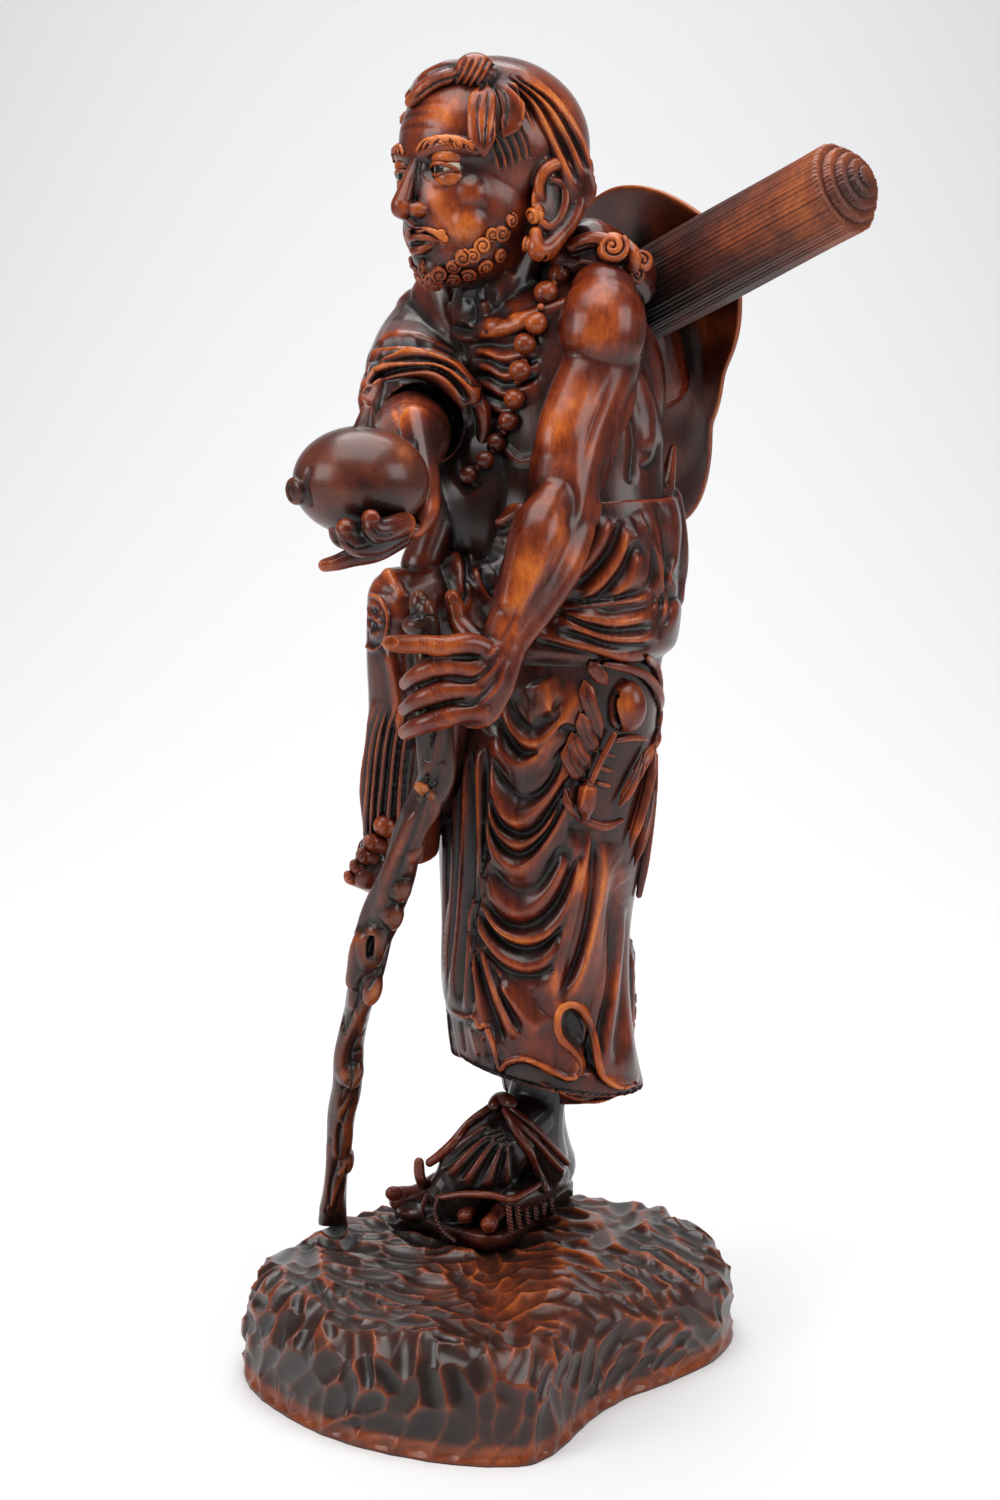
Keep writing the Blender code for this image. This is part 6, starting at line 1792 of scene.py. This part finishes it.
def scooped(points, normals, dice, count, length, breadth, depth):
    """How far overlapping gouge cuts go in at each point: round troughs with sharp ridges where they meet."""
    chosen = [0]
    while len(chosen) < count:
        tries = dice.integers(0, len(points), 16)
        gaps = np.linalg.norm(points[tries][:, None] - points[chosen][None], axis=2).min(1)
        chosen.append(int(tries[gaps.argmax()]))
    best = np.full(len(points), LAND)
    for place in chosen:
        out = normals[place]
        flat = unit(np.cross(out, [math.sin(points[place, 0] * 0.02), 0.35, 1.0]))
        turn = 0.9 + 0.9 * math.sin(points[place, 0] * 0.031 + points[place, 2] * 0.05) + dice.normal(0, 0.4)
        along = flat * math.cos(turn) + np.cross(out, flat) * math.sin(turn)
        size = dice.uniform(0.62, 1.45)
        reach, half = length * size * dice.uniform(0.8, 1.25), breadth * size
        cut = depth * (0.4 + 0.6 * size)
        gap = points - points[place]
        near = np.flatnonzero((gap * gap).sum(1) < (reach * 1.4) ** 2)
        gap = gap[near]
        u, v = gap @ along, gap @ np.cross(out, along)
        facing = normals[near] @ out
        bowl = -cut + (cut + LAND) * (np.abs(u / reach) ** 2.6 + (v / half) ** 2) + np.where(facing < 0.2, 9.0, 0.0)
        best[near] = np.minimum(best[near], bowl)
    return best


def plinth_region(sizes):
    """The rockwork plinth: a low kidney-shaped mound covered all over in gouge cuts."""
    ring = smooth_line(FOOTPRINT + FOOTPRINT[:1], 30)[:-1]
    closed = np.vstack([ring, ring[:1]])
    steps = np.linalg.norm(np.diff(closed, axis=0), axis=1) * np.interp(ring[:, 1], (-60, 60), (1.5, 0.8))
    lengths = np.concatenate([[0], np.cumsum(steps)])
    even = np.linspace(0, lengths[-1], PLINTH_SIDES, endpoint=False)
    ring = np.c_[np.interp(even, lengths, closed[:, 0]), np.interp(even, lengths, closed[:, 1])]
    heart = ring.mean(0)
    inward = unit_rows(heart - ring)
    profile = [(0.0, h) for h in np.linspace(0.0, UPRIGHT, 16)]
    for t in np.linspace(0, 1, 46)[1:]:
        angle = t * math.pi / 2
        profile.append((RIM_ROUND * (1 - math.cos(angle)) ** 1.15, UPRIGHT + RIM_RISE * math.sin(angle)))
    top = PLINTH_HEIGHT - 1
    rings = [np.c_[ring + inward * inset, np.full(PLINTH_SIDES, height * top)] for inset, height in profile]
    for share in np.linspace(0.985, 0.02, 66):
        rings.append(np.c_[heart + (ring + inward * RIM_ROUND - heart) * share, np.full(PLINTH_SIDES, top)])
    points, faces = shell(rings)
    pad = pad_share(points[:, :2])
    blend = np.clip((points[:, 2] - 22) / 26, 0, 1) ** 1.5
    mound = np.exp(-((points[:, 0] - 45) ** 2 + (points[:, 1] - 90) ** 2) / 2800) * sizes.rock_rise / SHARE
    dip = 3.0 * np.sin(points[:, 0] * 0.055) * np.cos(points[:, 1] * 0.048 + 1)
    fall = 7.0 * np.clip((points[:, 0] - 30) / 70, 0, 1)
    points[:, 2] += (mound - fall + dip) * (1 - pad) * blend
    made = turned_out(as_object("rockwork", [(points, faces)]))
    points, normals = points_of(made), normals_of(made)
    cut = scooped(points, normals, np.random.default_rng(11), sizes.gouge_cuts, sizes.gouge_length * 0.56 / SHARE,
                  sizes.gouge_width / 2 / SHARE, sizes.gouge_depth / SHARE)
    cut *= np.clip(points[:, 2] / 3, 0.25, 1)
    points += normals * cut[:, None]
    stood_on = (pad > 0.02) & (points[:, 2] > 35)
    points[stood_on, 2] = np.minimum(points[stood_on, 2], PLINTH_HEIGHT - 0.2)
    points[:PLINTH_SIDES, 2] = -LIFT / SHARE
    set_points(made, points)
    return raised_to(made, -LIFT / SHARE)


# The stage

# The floor, in metres: its size, its middle, where its back begins, how high it rises there and how round it sweeps up
FLOOR_SIZE = 4.2
FLOOR_MIDDLE = 0.9
FLOOR_BACK = 2.0
WALL_HEIGHT = 3.6
SWEEP = 2.0

# Where the lights point
FIGURE_AIM = (0, 0, 0.32)
BACKDROP_AIM = (0, 2.2, 0.5)


def build_stage(settings):
    """A plain pale floor that sweeps up behind, soft studio light from above, and the camera of the front view."""
    bpy.ops.object.select_all(action="DESELECT")
    bpy.ops.mesh.primitive_plane_add(size=FLOOR_SIZE, location=(0, FLOOR_MIDDLE, 0))
    floor = bpy.context.object
    floor.name = "floor"
    floor.data.transform(floor.matrix_world)
    floor.matrix_world.identity()
    for edge in floor.data.edges:
        edge.select = all(floor.data.vertices[i].co.y > FLOOR_BACK for i in edge.vertices)
    for vertex in floor.data.vertices:
        vertex.select = vertex.co.y > FLOOR_BACK
    for face in floor.data.polygons:
        face.select = False
    bpy.ops.object.mode_set(mode="EDIT")
    bpy.ops.mesh.select_mode(type="EDGE")
    bpy.ops.mesh.extrude_region_move(TRANSFORM_OT_translate={"value": (0, 0, WALL_HEIGHT)})
    bpy.ops.object.mode_set(mode="OBJECT")
    for edge in floor.data.edges:
        ends = [floor.data.vertices[i].co for i in edge.vertices]
        edge.select = all(e.y > FLOOR_BACK and e.z < 0.1 for e in ends)
    bpy.ops.object.mode_set(mode="EDIT")
    bpy.ops.mesh.bevel(offset=SWEEP, segments=28, affect="EDGES")
    bpy.ops.object.mode_set(mode="OBJECT")
    floor.data.shade_smooth()
    pale, _, shader = new_material("pale_floor")
    set_inputs(shader, base_color=(*settings.floor_colour, 1.0), roughness=0.8)
    floor.data.materials.append(pale)
    for name, place, size, watts, tint in (
        ("top_light", (-0.1, -0.35, 1.75), 1.5, settings.top_light, (1.0, 0.985, 0.965)),
        ("left_light", (-1.5, -0.9, 0.95), 0.9, settings.side_light, (1.0, 1.0, 1.0)),
        ("right_light", (1.4, -0.8, 1.0), 0.9, settings.side_light * 0.75, (1.0, 1.0, 1.0)),
        ("backdrop_light", (0.0, 0.9, 2.2), 1.4, settings.back_light, (1.0, 1.0, 1.0)),
    ):
        bpy.ops.object.light_add(type="AREA", location=place)
        lamp = bpy.context.object
        lamp.name = name
        lamp.data.size = size
        lamp.data.energy = watts
        lamp.data.color = tint
        target = Vector(BACKDROP_AIM if name == "backdrop_light" else FIGURE_AIM)
        lamp.rotation_euler = (target - lamp.location).to_track_quat("-Z", "Y").to_euler()
    world = bpy.data.worlds.new("studio")
    bpy.context.scene.world = world
    world.use_nodes = True
    set_inputs(world.node_tree.nodes["Background"], color=(*settings.air_colour, 1.0), strength=settings.air_light)
    camera = bpy.data.cameras.new("front_camera")
    eye = bpy.data.objects.new("front_camera", camera)
    bpy.context.scene.collection.objects.link(eye)
    eye.location = VIEW_FROM * SHARE
    eye.rotation_euler = (math.pi / 2 - VIEW_TILT, 0, 0)
    camera.lens = 50.0
    camera.sensor_width = 36.0
    bpy.context.scene.camera = eye
    bpy.context.scene.view_settings.view_transform = "Standard"


# The add-on


def length(label, told, default):
    return bpy.props.FloatProperty(name=label, description=told, default=default, min=0, unit="LENGTH", precision=4)


def power(label, told, default):
    return bpy.props.FloatProperty(name=label, description=told, default=default, min=0, unit="POWER")


def colour(label, told, default):
    return bpy.props.FloatVectorProperty(name=label, description=told, subtype="COLOR", default=default, min=0, max=1)


def wood_group(part):
    """A property group with the six colours and the gloss of one part's wood."""
    told = {shade: colour(label, about, value) for (shade, label, about), value in zip(SHADES, WOOD_COLOURS[part])}
    told["dullness"] = bpy.props.FloatProperty(name="Dullness", description="1 is the polish of the carving",
                                               default=1.0, min=0.3, max=3.0, subtype="FACTOR")
    return type("Okimono" + part.title() + "Wood", (bpy.types.PropertyGroup,), {"__annotations__": told})


WOOD_GROUPS = {part: wood_group(part) for part in WOOD_COLOURS}


class OkimonoSizes(bpy.types.PropertyGroup):
    rock_rise: length("Rock rise", "How far the plinth's mound rises behind the foot", 0.011)
    gouge_cuts: bpy.props.IntProperty(name="Gouge cuts", description="Gouge cuts on the plinth", default=430, min=1)
    gouge_length: length("Gouge length", "Length of a usual gouge cut", 0.022)
    gouge_width: length("Gouge width", "Width of a usual gouge cut", 0.012)
    gouge_depth: length("Gouge depth", "Depth of a usual gouge cut", 0.0023)
    staff_thickness: length("Staff thickness", "Usual thickness of the staff", 0.0145)
    mat_length: length("Mat length", "Length of the rolled mat", 0.190)
    mat_canes: bpy.props.IntProperty(name="Mat canes", description="Canes round the outer coil", default=60, min=3)
    hat_depth: length("Hat depth", "Depth of the hat's bowl", 0.010)


class OkimonoStage(bpy.types.PropertyGroup):
    floor_colour: colour("Floor", "Colour of the floor", (0.80, 0.80, 0.81))
    air_colour: colour("Air", "Colour of the studio's air", (0.95, 0.96, 0.98))
    air_light: bpy.props.FloatProperty(name="Air light", description="Strength of the even light", default=0.2, min=0)
    top_light: power("Top light", "Power of the soft box above", 28.0)
    side_light: power("Side light", "Power of the lights at the sides", 13.0)
    back_light: power("Back light", "Power of the light on the backdrop", 34.0)


class CarvePlinth(bpy.types.Operator):
    """Carves the gouged plinth"""

    bl_idname = "okimono.plinth"
    bl_label = "Plinth"

    def execute(self, context):
        place_piece(plinth_region(context.scene.okimono_sizes), "plinth", "plinth")
        return {"FINISHED"}


class CarveStaff(bpy.types.Operator):
    """Carves the twisted staff"""

    bl_idname = "okimono.staff"
    bl_label = "Staff"

    def execute(self, context):
        place_piece(staff_region(context.scene.okimono_sizes), "staff", "staff", -0.15)
        return {"FINISHED"}


class CarveHead(bpy.types.Operator):
    """Carves the head, its headband and curls, and sets the inlaid eyes"""

    bl_idname = "okimono.head"
    bl_label = "Head"

    def execute(self, context):
        for made in head_region():
            place_piece(made)
        eye_piece("left_eye", -1)
        eye_piece("right_eye", 1)
        return {"FINISHED"}


class CarveBody(bpy.types.Operator):
    """Carves the chest, both arms, the beads, the sleeve and the gourd"""

    bl_idname = "okimono.body"
    bl_label = "Body and arms"

    def execute(self, context):
        for region in (torso_region, left_arm_region, right_arm_region):
            place_piece(region())
        place_piece(gourd_region(), "gourd")
        place_piece(sleeve_region())
        return {"FINISHED"}


class CarveRobe(bpy.types.Operator):
    """Carves the robe, its sash and what hangs from it"""

    bl_idname = "okimono.robe"
    bl_label = "Robe"

    def execute(self, context):
        upper = upper_robe_region()
        skirt = skirt_region()
        both = as_object("hip", [as_part(upper), as_part(skirt)])
        tree = tree_of(both)
        bpy.data.meshes.remove(both.data)
        for made in (waist_region(tree), upper, skirt):
            place_piece(made)
        return {"FINISHED"}


class CarveLoad(bpy.types.Operator):
    """Carves the rolled mat, the hat and the strap that carries them"""

    bl_idname = "okimono.load"
    bl_label = "Mat and hat"

    def execute(self, context):
        place_piece(mat_region(context.scene.okimono_sizes), "mat")
        place_piece(hat_region(context.scene.okimono_sizes), "hat")
        place_piece(strap_region())
        return {"FINISHED"}


class CarveFoot(bpy.types.Operator):
    """Carves the standing foot and its straw sandal"""

    bl_idname = "okimono.foot"
    bl_label = "Foot"

    def execute(self, context):
        place_piece(foot_region(), rubbed=-0.42)
        return {"FINISHED"}


class SetStage(bpy.types.Operator):
    """Sets the floor, the lights and the camera"""

    bl_idname = "okimono.stage"
    bl_label = "Stage"

    def execute(self, context):
        build_stage(context.scene.okimono_stage)
        return {"FINISHED"}


class OkimonoPanel(bpy.types.Panel):
    bl_idname = "VIEW3D_PT_okimono"
    bl_label = "Okimono"
    bl_space_type = "VIEW_3D"
    bl_region_type = "UI"
    bl_category = "Okimono"

    def draw(self, context):
        for name in GROUPS:
            settings = getattr(context.scene, name)
            box = self.layout.box()
            for item in settings.bl_rna.properties.keys():
                if item not in ("rna_type", "name"):
                    box.prop(settings, item)
        for operator in OPERATORS:
            self.layout.operator(operator.bl_idname)


OPERATORS = (SetStage, CarvePlinth, CarveStaff, CarveHead, CarveBody, CarveRobe, CarveLoad, CarveFoot)
GROUPS = {"okimono_sizes": OkimonoSizes, "okimono_stage": OkimonoStage}
GROUPS.update({"okimono_" + part: group for part, group in WOOD_GROUPS.items()})
CLASSES = (*GROUPS.values(), *OPERATORS, OkimonoPanel)


def register():
    for item in CLASSES:
        bpy.utils.register_class(item)
    for name, group in GROUPS.items():
        setattr(bpy.types.Scene, name, bpy.props.PointerProperty(type=group))


def unregister():
    for name in GROUPS:
        delattr(bpy.types.Scene, name)
    for item in reversed(CLASSES):
        bpy.utils.unregister_class(item)


def main():
    """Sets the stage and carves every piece."""
    register()
    bpy.ops.okimono.stage()
    bpy.ops.okimono.plinth()
    bpy.ops.okimono.staff()
    bpy.ops.okimono.head()
    bpy.ops.okimono.body()
    bpy.ops.okimono.robe()
    bpy.ops.okimono.load()
    bpy.ops.okimono.foot()


if __name__ == "__main__":
    main()
